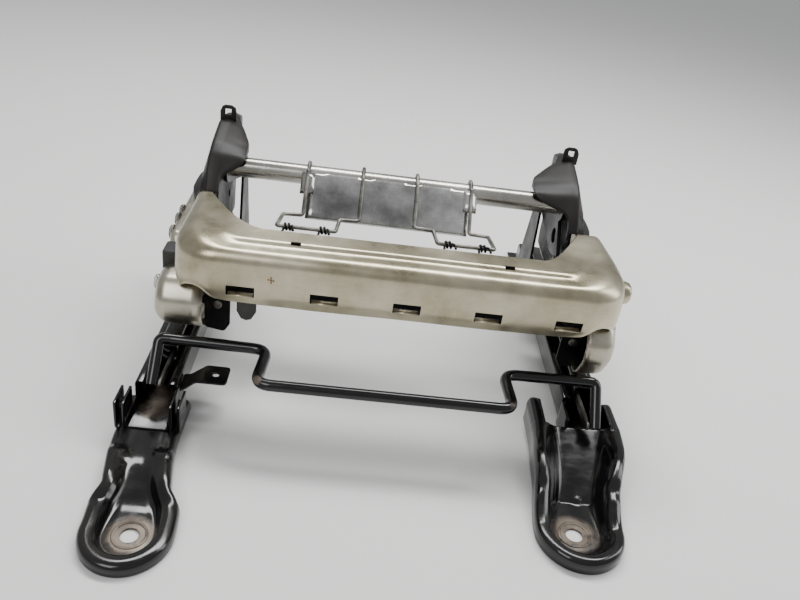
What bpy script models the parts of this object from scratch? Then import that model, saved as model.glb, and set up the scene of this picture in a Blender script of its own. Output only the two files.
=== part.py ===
"""Seat slide rail: the slide and height-adjuster base of a car's front seat.

Metres, +Z up, +X to the right seen from the front, +Y to the rear of the car.
Every piece is set out from three lines: the middle plane between the rails (X = 0), the
bolt hole of the left front foot (Y = 0) and the floor (Z = 0). The last step moves that
setting-out point so that the origin lies at the bottom centre of the whole object.
"""

import math

import bmesh
import bpy
from mathutils import Matrix, Vector

# Where the origin lies on the setting-out lines
ORIGIN_X = 0.00225
ORIGIN_Y = 0.286795

GAP = 0.0003              # clearance between pieces that touch

# Rails
RAIL_X = 0.223            # from the middle plane to each rail's centre line
RAIL_FLOOR_Z = 0.015      # underside of the lower rails
LOWER_LENGTH = 0.400
UPPER_LENGTH = 0.330
UPPER_FRONT_Y = 0.205
LEFT_LOWER_FRONT_Y = 0.120
RIGHT_LOWER_FRONT_Y = 0.165
LOWER_HALF = 0.021        # half of the lower rail's outer width
LOWER_HEIGHT = 0.030
LOWER_SHEET = 0.002
LOWER_LIP = 0.0085        # depth of the turned-down lip
LIP_HALF = 0.011          # half of the opening between the lips
NOSE_CUT = 0.036          # length at the front with the lips cut away
NOTCH_COUNT = 12
NOTCH_PITCH = 0.012
NOTCH_LENGTH = 0.006
NOTCH_WIDTH = 0.012
NOTCH_START = 0.118       # from the front of the lower rail to the first notch
UPPER_HALF = 0.0095       # half of the upper rail's box
UPPER_SHEET = 0.0018
UPPER_TOP = 0.042         # top of the upper rail above the lower rail's underside
UPPER_FOOT = 0.0045       # underside of the upper rail above the lower rail's underside
UPPER_WING = 0.0164       # half width over the turned-up wings
UPPER_WING_TOP = 0.0215
BALL_RADIUS = 0.0026
BALL_X = 0.0161
BALL_Z = 0.0250
CAGE_LENGTH = 0.170
CAGE_BAR = 0.0022
BALL_COUNT = 2

# Feet
LEFT_HOLE_X = -0.206
RIGHT_HOLE_X = 0.194
RIGHT_SET_BACK = RIGHT_LOWER_FRONT_Y - LEFT_LOWER_FRONT_Y
FOOT_SHEET = 0.0026
FOOT_HOLE = 0.0082        # radius of the bolt hole
LEFT_FOOT_HALF = 0.039
RIGHT_FOOT_HALF = 0.041
FOOT_RIM = 0.0105           # width of the rolled rim
BRIDGE_Z = 0.031            # underside of the right foot's sheet at the rail's end
WALL_TAIL = 0.038           # the right foot's outer walls run this far beside the rail
FOOT_TAIL = 0.050         # how far a front foot runs back under its rail
EAR_HEIGHT = 0.030
EAR_LENGTH = 0.028
EAR_SPAN = 0.0105           # width of the left foot's folded ears
EAR_SHEET = 0.0026
REAR_FOOT_LENGTH = 0.052
REAR_FOOT_WIDTH = 0.046

# Height adjuster: four equal links
LINK_LENGTH = 0.085
LINK_REST_ANGLE = math.radians(22.0)
LINK_SHEET = 0.004
FRONT_PIVOT_Y = 0.250
FRONT_PIVOT_Z = 0.106
TUBE_Y = FRONT_PIVOT_Y + 0.093
TUBE_Z = FRONT_PIVOT_Z + 0.1015
TUBE_RADIUS = 0.011
TUBE_END_X = RAIL_X - 0.019
REAR_LINK_X = RAIL_X - 0.035      # middle of the link's thickness
FRONT_LINK_X = RAIL_X - 0.0395
PIVOT_RADIUS = 0.005
GEAR_MODULE = 0.002
SECTOR_TEETH = 60         # teeth of the full wheel that the sector is cut from
PINION_TEETH = 9
SECTOR_SWEEP = math.radians(60.0)
SECTOR_MIDDLE = math.radians(-96.0)
PINION_LAG = math.radians(19.0)
RISER_SHEET = 0.003

# Cushion frame
LEFT_WEB_X = RAIL_X + 0.015       # outer face of each side member
RIGHT_WEB_X = RAIL_X + 0.0225
MEMBER_SHEET = 0.0014
MEMBER_BEND = 0.005       # bevel between a side member's web and its wall
PAN_X = 0.0115            # the pan stands a little to the right of the rails' middle
PAN_HALF = RAIL_X + 0.004
PAN_FRONT_Y = FRONT_PIVOT_Y - 0.069
PAN_TOP_Z = TUBE_Z - 0.0165
PAN_CORNER = 0.044
PAN_REAR_Y = TUBE_Y - 0.039
PAN_LEDGE_Y = PAN_FRONT_Y + 0.051
PAN_SHEET = 0.0012
PAN_ROLL = 0.013             # radius of the rolled front edge
PAN_CORNER_ROLL = 0.032      # width of the roll round a corner
PAN_END_ROLL = 0.018         # width of the roll at a horn's rear end
PAN_LOWER_Z = PAN_TOP_Z - 0.0565
PAN_SIDE_RISE = 0.010        # the lower edge is higher at the sides than in front
PAN_BULGE = 0.0012
PAN_STEP = 0.0035           # drop from the ledge to the roll
SLOT_COUNT = 5
SLOT_PITCH = 0.358 * PAN_HALF
SLOT_X = 0.0165           # middle slot
SLOT_WIDTH = 0.0275
SLOT_HEIGHT = 0.0115
SLOT_Z = PAN_LOWER_Z + 0.0130
PLATE_X = RAIL_X - 0.0255         # middle of the recliner plate's thickness
DRUM_RADIUS = 0.0150
PLATE_SHEET = 0.003
COVER_SHEET = 0.0022

# Suspension
WIRE_RADIUS = 0.0018
WIRE_PITCH = 0.0600
WIRE_X = -0.0090          # middle of the four hooks
SUPPORT_HALF = 0.088
SUPPORT_SHEET = 0.0016

# Release handle
HANDLE_RADIUS = 0.0058
HANDLE_Z = 0.079
GRIP_Y = 0.127
HANDLE_BACK_Y = 0.184
GRIP_LEFT_X = -0.121
GRIP_RIGHT_X = 0.131
HANDLE_PIVOT_Y = 0.262
HANDLE_PIVOT_Z = 0.0410
LEVER_SHEET = 0.003
LEVER_HEIGHT = 0.009
LATCH_PIVOT_Y = 0.330

steel = (0.60, 0.57, 0.50)
black = (0.012, 0.012, 0.014)


def clear_scene():
    for thing in list(bpy.data.objects):
        bpy.data.objects.remove(thing, do_unlink=True)


clear_scene()
part_collection = bpy.data.collections.new("seat_slide_rail")
cutter_collection = bpy.data.collections.new("cutters")
bpy.context.scene.collection.children.link(part_collection)
bpy.context.scene.collection.children.link(cutter_collection)


def material(name, colour, roughness, metallic):
    made = bpy.data.materials.new(name)
    made.use_nodes = True
    shader = made.node_tree.nodes["Principled BSDF"]
    shader.inputs["Base Color"].default_value = (*colour, 1.0)
    shader.inputs["Roughness"].default_value = roughness
    shader.inputs["Metallic"].default_value = metallic
    return made


# Bodies: each empty stands on its joint's axis, and carries the pieces that move with it
body_origins = {}
body_empties = {}


def body(name, origin):
    empty = bpy.data.objects.new("body_" + name, None)
    empty.location = Vector(origin) - Vector((ORIGIN_X, ORIGIN_Y, 0.0))
    part_collection.objects.link(empty)
    body_origins[name] = Vector(origin)
    body_empties[name] = empty


def add_piece(name, mesh, look, carrier, place=(0.0, 0.0, 0.0), smooth=30.0):
    """Link a mesh as one piece; place is on the setting-out lines."""
    mesh.name = name
    mesh.shade_smooth()
    mesh.set_sharp_from_angle(angle=math.radians(smooth))
    piece = bpy.data.objects.new(name, mesh)
    part_collection.objects.link(piece)
    piece.parent = body_empties[carrier]
    piece.location = Vector(place) - body_origins[carrier]
    mesh.materials.clear()
    mesh.materials.append(material(name, *look))
    return piece


def cutter(mesh, carrier, place=(0.0, 0.0, 0.0)):
    tool = bpy.data.objects.new("cut", mesh)
    cutter_collection.objects.link(tool)
    tool.parent = body_empties[carrier]
    tool.location = Vector(place) - body_origins[carrier]
    tool.hide_render = True
    tool.display_type = 'WIRE'
    return tool


def apply_boolean(piece, tool, operation='DIFFERENCE'):
    step = piece.modifiers.new(operation.lower(), 'BOOLEAN')
    step.operation = operation
    step.solver = 'EXACT'
    step.object = tool


def solidify(piece, thickness, offset=0.0):
    step = piece.modifiers.new("sheet", 'SOLIDIFY')
    step.thickness = thickness
    step.offset = offset
    step.use_even_offset = True


def mesh_from_bmesh(shape):
    bmesh.ops.recalc_face_normals(shape, faces=shape.faces)
    mesh = bpy.data.meshes.new("shape")
    shape.to_mesh(mesh)
    shape.free()
    return mesh


def box(size, centre=(0.0, 0.0, 0.0), turn=None):
    shape = bmesh.new()
    bmesh.ops.create_cube(shape, size=1.0)
    bmesh.ops.scale(shape, vec=Vector(size), verts=shape.verts)
    if turn is not None:
        bmesh.ops.rotate(shape, matrix=turn, verts=shape.verts)
    bmesh.ops.translate(shape, vec=Vector(centre), verts=shape.verts)
    return mesh_from_bmesh(shape)


def cylinder_x(radius, length, segments=16, centre=(0.0, 0.0, 0.0)):
    shape = bmesh.new()
    bmesh.ops.create_cone(shape, cap_ends=True, segments=segments,
                          radius1=radius, radius2=radius, depth=length)
    bmesh.ops.rotate(shape, matrix=Matrix.Rotation(math.pi / 2, 3, 'Y'), verts=shape.verts)
    bmesh.ops.translate(shape, vec=Vector(centre), verts=shape.verts)
    return mesh_from_bmesh(shape)


def cylinder_z(radius, length, segments=24, centre=(0.0, 0.0, 0.0)):
    shape = bmesh.new()
    bmesh.ops.create_cone(shape, cap_ends=True, segments=segments,
                          radius1=radius, radius2=radius, depth=length)
    bmesh.ops.rotate(shape, matrix=Matrix.Rotation(math.radians(3.5), 3, 'Z'),
                     verts=shape.verts)
    bmesh.ops.translate(shape, vec=Vector(centre), verts=shape.verts)
    return mesh_from_bmesh(shape)


def grid(rows, closed=False, fan_last=False):
    """Quads between equal rows of points; closed joins the last point of a row to its first."""
    shape = bmesh.new()
    made = [[shape.verts.new(p) for p in row] for row in rows]
    count = len(rows[0])
    for first, second in zip(made, made[1:]):
        for i in range(count if closed else count - 1):
            j = (i + 1) % count
            shape.faces.new((first[i], first[j], second[j], second[i]))
    if fan_last:
        shape.faces.new(made[-1])
    return mesh_from_bmesh(shape)


def round_corners(points, radius, steps=3, closed=False):
    """Replace each corner of a polyline with an arc."""
    count = len(points)
    result = []
    for i, point in enumerate(points):
        here = Vector(point)
        if not closed and i in (0, count - 1):
            result.append(here)
            continue
        before = Vector(points[i - 1]) - here
        after = Vector(points[(i + 1) % count]) - here
        angle = before.angle(after)
        reach = radius / math.tan(angle / 2)
        reach = min(reach, before.length * 0.49, after.length * 0.49)
        start = here + before.normalized() * reach
        end = here + after.normalized() * reach
        if reach < 1e-5 or angle > math.pi - 0.02:
            result.append(here)
            continue
        for k in range(steps + 1):
            t = k / steps
            result.append(start * (1 - t) ** 2 + here * 2 * t * (1 - t) + end * t ** 2)
    return result


def channel(profile, length):
    """An open strip: a profile in X and Z drawn along Y."""
    front = [Vector((p[0], 0.0, p[1])) for p in profile]
    rear = [p + Vector((0.0, length, 0.0)) for p in front]
    return grid([front, rear])


def flat_outline(outer, holes, thickness):
    """A flat plate in the YZ plane from an outline and round holes (y, z, radius)."""
    curve = bpy.data.curves.new("outline", 'CURVE')
    curve.dimensions = '2D'
    curve.fill_mode = 'BOTH'
    curve.extrude = thickness / 2
    loops = [outer]
    for y, z, radius in holes:
        sides = 8 if radius < 0.003 else 12 if radius < 0.007 else 16
        loops.append([(y + radius * math.cos(2 * math.pi * k / sides),
                       z + radius * math.sin(2 * math.pi * k / sides)) for k in range(sides)])
    for loop in loops:
        spline = curve.splines.new('POLY')
        spline.points.add(len(loop) - 1)
        for spot, place in zip(spline.points, loop):
            spot.co = (place[0], place[1], 0.0, 1.0)
        spline.use_cyclic_u = True
    holder = bpy.data.objects.new("outline", curve)
    part_collection.objects.link(holder)
    bpy.context.view_layer.update()
    seen = holder.evaluated_get(bpy.context.evaluated_depsgraph_get())
    mesh = bpy.data.meshes.new_from_object(seen)
    bpy.data.objects.remove(holder, do_unlink=True)
    shape = bmesh.new()
    shape.from_mesh(mesh)
    bmesh.ops.remove_doubles(shape, verts=shape.verts, dist=1e-6)
    stand = Matrix(((0, 0, 1), (1, 0, 0), (0, 1, 0)))
    bmesh.ops.rotate(shape, matrix=stand, verts=shape.verts)
    bpy.data.meshes.remove(mesh)
    return mesh_from_bmesh(shape)


def bar(points, radius, resolution=3):
    """A round bar along a polyline, with closed ends."""
    curve = bpy.data.curves.new("bar", 'CURVE')
    curve.dimensions = '3D'
    curve.bevel_depth = radius
    curve.bevel_resolution = resolution
    curve.use_fill_caps = True
    spline = curve.splines.new('POLY')
    spline.points.add(len(points) - 1)
    for spot, place in zip(spline.points, points):
        spot.co = (*place, 1.0)
    holder = bpy.data.objects.new("bar", curve)
    part_collection.objects.link(holder)
    bpy.context.view_layer.update()
    seen = holder.evaluated_get(bpy.context.evaluated_depsgraph_get())
    mesh = bpy.data.meshes.new_from_object(seen)
    bpy.data.objects.remove(holder, do_unlink=True)
    shape = bmesh.new()
    shape.from_mesh(mesh)
    bmesh.ops.remove_doubles(shape, verts=shape.verts, dist=1e-6)
    bpy.data.meshes.remove(mesh)
    return mesh_from_bmesh(shape)


def turned_x(profile, segments=24):
    """A turned piece about the X axis; profile is a closed loop of (x, radius)."""
    shape = bmesh.new()
    made = []
    for k in range(segments):
        angle = 2 * math.pi * k / segments
        made.append([shape.verts.new((x, r * math.cos(angle), r * math.sin(angle)))
                     for x, r in profile])
    count = len(profile)
    for k in range(segments):
        first, second = made[k], made[(k + 1) % segments]
        for i in range(count):
            j = (i + 1) % count
            shape.faces.new((first[i], first[j], second[j], second[i]))
    return mesh_from_bmesh(shape)


def solid_turned_x(profile, segments=20):
    """A solid turned piece about X: (x, radius) from one end to the other."""
    rings = []
    for x, r in profile:
        rings.append([Vector((x, r * math.cos(2 * math.pi * k / segments),
                              r * math.sin(2 * math.pi * k / segments)))
                      for k in range(segments)])
    shape = bmesh.new()
    made = [[shape.verts.new(p) for p in ring] for ring in rings]
    for first, second in zip(made, made[1:]):
        for i in range(segments):
            j = (i + 1) % segments
            shape.faces.new((first[i], first[j], second[j], second[i]))
    shape.faces.new(made[0])
    shape.faces.new(made[-1])
    return mesh_from_bmesh(shape)


def joined(meshes):
    shape = bmesh.new()
    for mesh in meshes:
        shape.from_mesh(mesh)
        bpy.data.meshes.remove(mesh)
    mesh = bpy.data.meshes.new("joined")
    shape.to_mesh(mesh)
    shape.free()
    return mesh


# Derived lines of the height adjuster
link_back = LINK_LENGTH * math.cos(LINK_REST_ANGLE)
link_drop = LINK_LENGTH * math.sin(LINK_REST_ANGLE)
rear_pivot_y = TUBE_Y + link_back
rear_pivot_z = TUBE_Z - link_drop
front_low_y = FRONT_PIVOT_Y + link_back
front_low_z = FRONT_PIVOT_Z - link_drop
sector_radius = GEAR_MODULE * SECTOR_TEETH / 2
pinion_radius = GEAR_MODULE * PINION_TEETH / 2
gear_centres = sector_radius + pinion_radius + 0.0002
pinion_angle = SECTOR_MIDDLE - PINION_LAG
pinion_y = TUBE_Y + gear_centres * math.cos(pinion_angle)
pinion_z = TUBE_Z + gear_centres * math.sin(pinion_angle)
upper_top_z = RAIL_FLOOR_Z + UPPER_TOP
sides = (("left", -1), ("right", 1))
lower_front = {"left": LEFT_LOWER_FRONT_Y, "right": RIGHT_LOWER_FRONT_Y}
web_x = {"left": LEFT_WEB_X, "right": RIGHT_WEB_X}

body("carriage", (0.0, UPPER_FRONT_Y + UPPER_LENGTH / 2, upper_top_z))
for side, sign in sides:
    body(side + "_slide", (sign * RAIL_X, lower_front[side], RAIL_FLOOR_Z))
    body(side + "_cages", (sign * RAIL_X, UPPER_FRONT_Y + UPPER_LENGTH / 2, RAIL_FLOOR_Z))
    body(side + "_latch", (sign * RAIL_X, LATCH_PIVOT_Y, HANDLE_PIVOT_Z))
    body(side + "_front_link", (sign * FRONT_LINK_X, front_low_y, front_low_z))
body("handle", (0.0, HANDLE_PIVOT_Y, HANDLE_PIVOT_Z))
body("rear_links", (0.0, rear_pivot_y, rear_pivot_z))
body("cushion_frame", (0.0, TUBE_Y, TUBE_Z))
body("pinion", (REAR_LINK_X, pinion_y, pinion_z))

black_paint = (black, 0.28, 0.0)
bare_steel = (steel, 0.34, 1.0)
dull_steel = ((0.32, 0.31, 0.29), 0.45, 1.0)
blue_black = ((0.022, 0.024, 0.032), 0.40, 0.0)
dark_plastic = ((0.035, 0.032, 0.030), 0.62, 0.0)
zinc = ((0.62, 0.61, 0.58), 0.30, 1.0)


def lower_rail(side, sign):
    """A channel whose edges turn in and down, so that it holds the upper rail's wings."""
    half = LOWER_HALF - LOWER_SHEET / 2
    top = LOWER_HEIGHT - LOWER_SHEET / 2
    base = LOWER_SHEET / 2
    lip = LIP_HALF + LOWER_SHEET / 2
    corners = [(-lip, top - LOWER_LIP), (-lip, top), (-half, top), (-half, base),
               (half, base), (half, top), (lip, top), (lip, top - LOWER_LIP)]
    profile = round_corners(corners, 0.0028, steps=1)
    rail = add_piece(side + "_lower_rail", channel(profile, LOWER_LENGTH), black_paint,
                     side + "_slide", (sign * RAIL_X, lower_front[side], RAIL_FLOOR_Z))
    solidify(rail, LOWER_SHEET)
    place = (sign * RAIL_X, lower_front[side], RAIL_FLOOR_Z)
    lips = box((2 * LOWER_HALF + 0.01, 2 * NOSE_CUT, LOWER_HEIGHT),
               (0.0, 0.0, LOWER_HEIGHT / 2 + 0.0125))
    apply_boolean(rail, cutter(lips, side + "_slide", place))
    notches = [box((NOTCH_WIDTH, NOTCH_LENGTH, 0.008),
                   (0.0, NOTCH_START + k * NOTCH_PITCH, 0.0)) for k in range(NOTCH_COUNT)]
    apply_boolean(rail, cutter(joined(notches), side + "_slide", place))


def upper_rail(side, sign):
    """A box open below, whose lower edges turn out and up inside the lower rail."""
    half = UPPER_HALF - UPPER_SHEET / 2
    top = UPPER_TOP - UPPER_SHEET / 2
    foot = UPPER_FOOT + UPPER_SHEET / 2
    wing = UPPER_WING - UPPER_SHEET / 2
    corners = [(-wing, UPPER_WING_TOP), (-wing, foot), (-half, foot), (-half, top),
               (half, top), (half, foot), (wing, foot), (wing, UPPER_WING_TOP)]
    profile = round_corners(corners, 0.0022, steps=1)
    place = (sign * RAIL_X, UPPER_FRONT_Y, RAIL_FLOOR_Z)
    rail = add_piece(side + "_upper_rail", channel(profile, UPPER_LENGTH), black_paint,
                     "carriage", place)
    solidify(rail, UPPER_SHEET)
    window = box((0.006, 0.050, 0.05), (0.0, 0.190, UPPER_TOP))
    apply_boolean(rail, cutter(window, "carriage", place))


def ball_cage(side, sign, where, offset):
    """A plastic strip with balls, between the upper rail's wing and the lower rail's corner."""
    shape = bmesh.new()
    bmesh.ops.create_cube(shape, size=1.0)
    bmesh.ops.scale(shape, vec=Vector((CAGE_BAR, CAGE_LENGTH, CAGE_BAR)), verts=shape.verts)
    strip = mesh_from_bmesh(shape)
    place = (sign * RAIL_X + offset, UPPER_FRONT_Y + UPPER_LENGTH / 2, RAIL_FLOOR_Z + BALL_Z)
    cage = add_piece(f"{side}_{where}_ball_cage", strip, ((0.55, 0.53, 0.47), 0.5, 0.0),
                     side + "_cages", place)
    balls = bmesh.new()
    for k in range(BALL_COUNT):
        along = (k / (BALL_COUNT - 1) - 0.5) * (CAGE_LENGTH - 0.02)
        spot = Matrix.Translation((0.0, along, 0.0))
        bmesh.ops.create_icosphere(balls, subdivisions=1, radius=BALL_RADIUS, matrix=spot)
    apply_boolean(cage, cutter(mesh_from_bmesh(balls), side + "_cages", place), 'UNION')


def ease(t):
    """A smooth rise from 0 to 1."""
    t = min(max(t, 0.0), 1.0)
    return t * t * (3 - 2 * t)


def foot_section(left, along, ahead):
    """Shape of a front foot across its length: drift, half widths and heights of the underside."""
    if left:
        seat = RAIL_FLOOR_Z - GAP - FOOT_SHEET
        flat = ease((along - ahead + 0.035) / 0.012)
        drift = -0.002 + (LEFT_HOLE_X * -1 - RAIL_X + 0.002) * ease(along / ahead)
        outer = LEFT_FOOT_HALF - 0.009 * ease((along - 0.028) / 0.022)
        floor_half = 0.024 - 0.019 * ease(along / 0.080)
        floor = seat * ease((along - 0.025) / 0.060)
        rim = 0.010 + 0.007 * ease((along - 0.020) / 0.040)
        edge = 0.004 * ease(along / 0.060)
        floor += (seat - floor) * flat
        rim += (seat - rim) * flat
    else:
        drift = 0.0035 + 0.0145 * ease(along / ahead)
        outer = RIGHT_FOOT_HALF + 0.005 * ease((along - 0.040) / 0.050)
        floor_half = 0.022 - 0.006 * ease(along / 0.045) + 0.006 * ease((along - 0.055) / 0.060)
        climb = min(max((along - 0.041) / (ahead - 0.041), 0.0), 1.0)
        floor = BRIDGE_Z * climb ** 0.9
        rim = 0.012 + 0.025 * ease((along + 0.010) / 0.090)
        edge = 0.008 * ease(along / 0.080)
    return drift, floor_half, floor, outer, rim, edge


def foot_profile(left, along, ahead):
    """Points of one half of the section, from the middle out to the lower edge."""
    drift, floor_half, floor, outer, rim, edge = foot_section(left, along, ahead)
    inside = outer - FOOT_RIM
    return drift, [(0.0, floor), (floor_half, floor),
                   ((floor_half + inside) / 2, floor + 0.35 * (rim - floor)),
                   (inside, rim - 0.0015), (outer - FOOT_RIM / 2, rim),
                   (outer - 0.0015, rim - 0.0035), (outer, edge)]


def folded_strip(inner, outer, low, high, start, end):
    """A strip folded to a U along Y, from X inner to outer."""
    sheet = math.copysign(EAR_SHEET, outer - inner)
    ring = [(inner, high), (inner, low), (outer, low), (outer, high), (outer - sheet, high),
            (outer - sheet, low + EAR_SHEET), (inner + sheet, low + EAR_SHEET),
            (inner + sheet, high)]
    shape = bmesh.new()
    near = [shape.verts.new((x, start, z)) for x, z in ring]
    far = [shape.verts.new((x, end, z)) for x, z in ring]
    for i in range(len(ring)):
        j = (i + 1) % len(ring)
        shape.faces.new((near[i], near[j], far[j], far[i]))
    shape.faces.new(near)
    shape.faces.new(far)
    bmesh.ops.recalc_face_normals(shape, faces=shape.faces)
    return mesh_from_bmesh(shape)


def front_foot(side, sign):
    """A stamped foot: a pad with a bolt hole, a rolled rim, and an arm that meets the rail."""
    left = side == "left"
    hole_x = LEFT_HOLE_X if left else RIGHT_HOLE_X
    hole_y = 0.0 if left else RIGHT_SET_BACK
    shift = sign * RAIL_X - hole_x
    ahead = lower_front[side] - hole_y
    reach = 1.08 if left else 1.05
    turns = 8
    arms = 6
    shape = bmesh.new()
    drift, half = foot_profile(left, 0.0, ahead)
    middle = shape.verts.new((drift, 0.0, half[0][1]))
    fronts = []
    for k in range(turns + 1):
        angle = math.pi * k / turns
        fronts.append([shape.verts.new((drift - math.cos(angle) * x,
                                        -math.sin(angle) * x * reach, z)) for x, z in half[1:]])
    for first, second in zip(fronts, fronts[1:]):
        shape.faces.new((middle, first[0], second[0]))
        for i in range(len(first) - 1):
            shape.faces.new((first[i], first[i + 1], second[i + 1], second[i]))
    previous = list(reversed(fronts[0])) + [middle] + fronts[-1]
    places = [ahead * k / arms for k in range(1, arms)]
    places += [ahead, ahead + FOOT_TAIL] if left else [ahead - GAP]
    for along in places:
        drift, half = foot_profile(left, along, ahead)
        whole = [(-x, z) for x, z in reversed(half[1:])] + half
        row = [shape.verts.new((drift + x, along, z)) for x, z in whole]
        for i in range(len(row) - 1):
            shape.faces.new((previous[i], previous[i + 1], row[i + 1], row[i]))
        previous = row
    bmesh.ops.translate(shape, vec=Vector((0.0, 0.0, FOOT_SHEET / 2)), verts=shape.verts)
    place = (hole_x, hole_y, 0.0)
    foot = add_piece(side + "_front_foot", mesh_from_bmesh(shape), black_paint,
                     side + "_slide", place, smooth=50.0)
    solidify(foot, FOOT_SHEET)
    apply_boolean(foot, cutter(cylinder_z(FOOT_HOLE, 0.03), side + "_slide", place))
    low = RAIL_FLOOR_Z - GAP - EAR_SHEET
    high = RAIL_FLOOR_Z + EAR_HEIGHT
    wall = LOWER_HALF + GAP
    if left:
        window = box((0.034, 0.020, 0.03), (shift, ahead - 0.0135, RAIL_FLOOR_Z))
        apply_boolean(foot, cutter(window, side + "_slide", place))
        for way in (-1, 1):
            ear = folded_strip(shift + way * wall, shift + way * (wall + EAR_SPAN), low - 0.0004,
                               high, ahead, ahead + EAR_LENGTH)
            apply_boolean(foot, cutter(ear, side + "_slide", place), 'UNION')
    else:
        saddle = folded_strip(shift - wall - EAR_SHEET, shift + wall + EAR_SHEET, low, high,
                              ahead - 0.003, ahead + EAR_LENGTH)
        apply_boolean(foot, cutter(saddle, side + "_slide", place), 'UNION')
        drift, half = foot_profile(left, ahead, ahead)
        for way in (-1, 1):
            tail = box((EAR_SHEET, WALL_TAIL + 0.010, half[-3][1] - 0.012),
                       (drift + way * (half[-1][0] - 0.0008), ahead + (WALL_TAIL - 0.010) / 2,
                        (half[-3][1] + 0.012) / 2))
            apply_boolean(foot, cutter(tail, side + "_slide", place), 'UNION')


for side, sign in sides:
    lower_rail(side, sign)
    upper_rail(side, sign)
    ball_cage(side, sign, "inner", -sign * BALL_X)
    ball_cage(side, sign, "outer", sign * BALL_X)
    front_foot(side, sign)


def rear_foot(side, sign):
    """A cranked strip: it bolts to the floor behind the rail and comes up under the rail."""
    rear_y = lower_front[side] + LOWER_LENGTH
    low = FOOT_SHEET / 2
    high = RAIL_FLOOR_Z - GAP - FOOT_SHEET / 2
    corners = [(REAR_FOOT_LENGTH, low), (0.012, low), (-0.004, high), (-0.045, high)]
    line = round_corners(corners, 0.010, steps=2)
    left_edge = [Vector((-REAR_FOOT_WIDTH / 2, p[0], p[1])) for p in line]
    right_edge = [Vector((REAR_FOOT_WIDTH / 2, p[0], p[1])) for p in line]
    place = (sign * RAIL_X, rear_y, 0.0)
    foot = add_piece(side + "_rear_foot", grid([left_edge, right_edge]), black_paint,
                     side + "_slide", place)
    solidify(foot, FOOT_SHEET)
    hole = cylinder_z(FOOT_HOLE, 0.03, centre=(0.0, REAR_FOOT_LENGTH - 0.019, 0.0))
    apply_boolean(foot, cutter(hole, side + "_slide", place))


def connector_bracket():
    """A small arm on the left lower rail's inner wall, with a square pad for a plug."""
    wall = LOWER_HALF + GAP
    tab_low, tab_high = 0.054, 0.084
    outline = [(wall, 0.034), (wall + 0.014, tab_low), (wall + 0.045, tab_low),
               (wall + 0.045, tab_high), (wall + 0.020, tab_high), (wall + 0.006, 0.066),
               (wall, 0.066)]
    bottom = round_corners([(x, y, 0.0) for x, y in outline], 0.004, steps=2, closed=True)
    top = [p + Vector((0.0, 0.0, 0.002)) for p in bottom]
    shape = bmesh.new()
    low = [shape.verts.new(p) for p in bottom]
    high = [shape.verts.new(p) for p in top]
    count = len(low)
    for i in range(count):
        j = (i + 1) % count
        shape.faces.new((low[i], low[j], high[j], high[i]))
    shape.faces.new(low)
    shape.faces.new(high)
    place = (-RAIL_X, LEFT_LOWER_FRONT_Y, RAIL_FLOOR_Z + 0.020)
    add_piece("left_connector_bracket", mesh_from_bmesh(shape), black_paint, "left_slide", place)


def riser(side, sign, where, base_y, base_length, plate_x, pivot_y, pivot_z):
    """An angle bracket on the upper rail: a foot on the rail's top and an upright eye."""
    base_z = upper_top_z + GAP
    eye = 0.0145
    y0, y1 = base_y - base_length / 2, base_y + base_length / 2
    outline = [(y0, base_z), (y1, base_z)]
    for k in range(7):
        angle = math.pi * k / 6
        outline.append((pivot_y + eye * math.cos(angle), pivot_z + eye * math.sin(angle)))
    plate = flat_outline(outline, [(pivot_y, pivot_z, PIVOT_RADIUS + GAP)], RISER_SHEET)
    bracket = add_piece(f"{side}_{where}_riser", plate, blue_black, "carriage",
                        (sign * plate_x, 0.0, 0.0))
    inner = plate_x - RISER_SHEET / 2
    outer = RAIL_X + UPPER_HALF - 0.001
    foot = box((outer - inner, base_length, RISER_SHEET),
               (sign * (inner + outer) / 2, base_y, base_z + RISER_SHEET / 2))
    apply_boolean(bracket, cutter(foot, "carriage"), 'UNION')


def pivot_bolt(name, carrier, sign, start, end, y, z, head_out=True):
    """A shouldered bolt along X, from its inner end to its outer end."""
    shaft = PIVOT_RADIUS
    head = 0.0085
    head_height = 0.0045
    if head_out:
        profile = [(start, shaft), (end - head_height, shaft), (end - head_height, head),
                   (end, head - 0.001)]
    else:
        profile = [(start, head - 0.001), (start + head_height, head),
                   (start + head_height, shaft), (end, shaft)]
    profile = [(sign * x, r) for x, r in profile]
    mesh = solid_turned_x(profile, segments=12)
    add_piece(name, mesh, zinc, carrier, (0.0, y, z))


def link_outline(far_y, far_z, eye_near, eye_far):
    """Outline of a link from (0, 0) to the far eye, in Y and Z."""
    angle = math.atan2(far_z, far_y)
    points = []
    for k in range(7):
        turn = angle + math.pi / 2 + math.pi * k / 6
        points.append((eye_near * math.cos(turn), eye_near * math.sin(turn)))
    for k in range(7):
        turn = angle - math.pi / 2 + math.pi * k / 6
        points.append((far_y + eye_far * math.cos(turn), far_z + eye_far * math.sin(turn)))
    return points


def gear_edge(radius, teeth, first_angle, last_angle, phase):
    """Points of a toothed edge from one angle to another, with teeth centred on the phase."""
    pitch = 2 * math.pi / teeth
    points = []
    first = math.ceil((first_angle - phase) / pitch - 0.001)
    last = math.floor((last_angle - phase) / pitch + 0.001)
    shape = ((-0.30, -1.15), (-0.125, 0.85), (0.125, 0.85), (0.30, -1.15))
    for n in range(first, last + 1):
        middle = phase + n * pitch
        for share, height in shape:
            angle = middle + share * pitch
            reach = radius + height * GEAR_MODULE
            points.append((reach * math.cos(angle), reach * math.sin(angle)))
    return points


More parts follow.
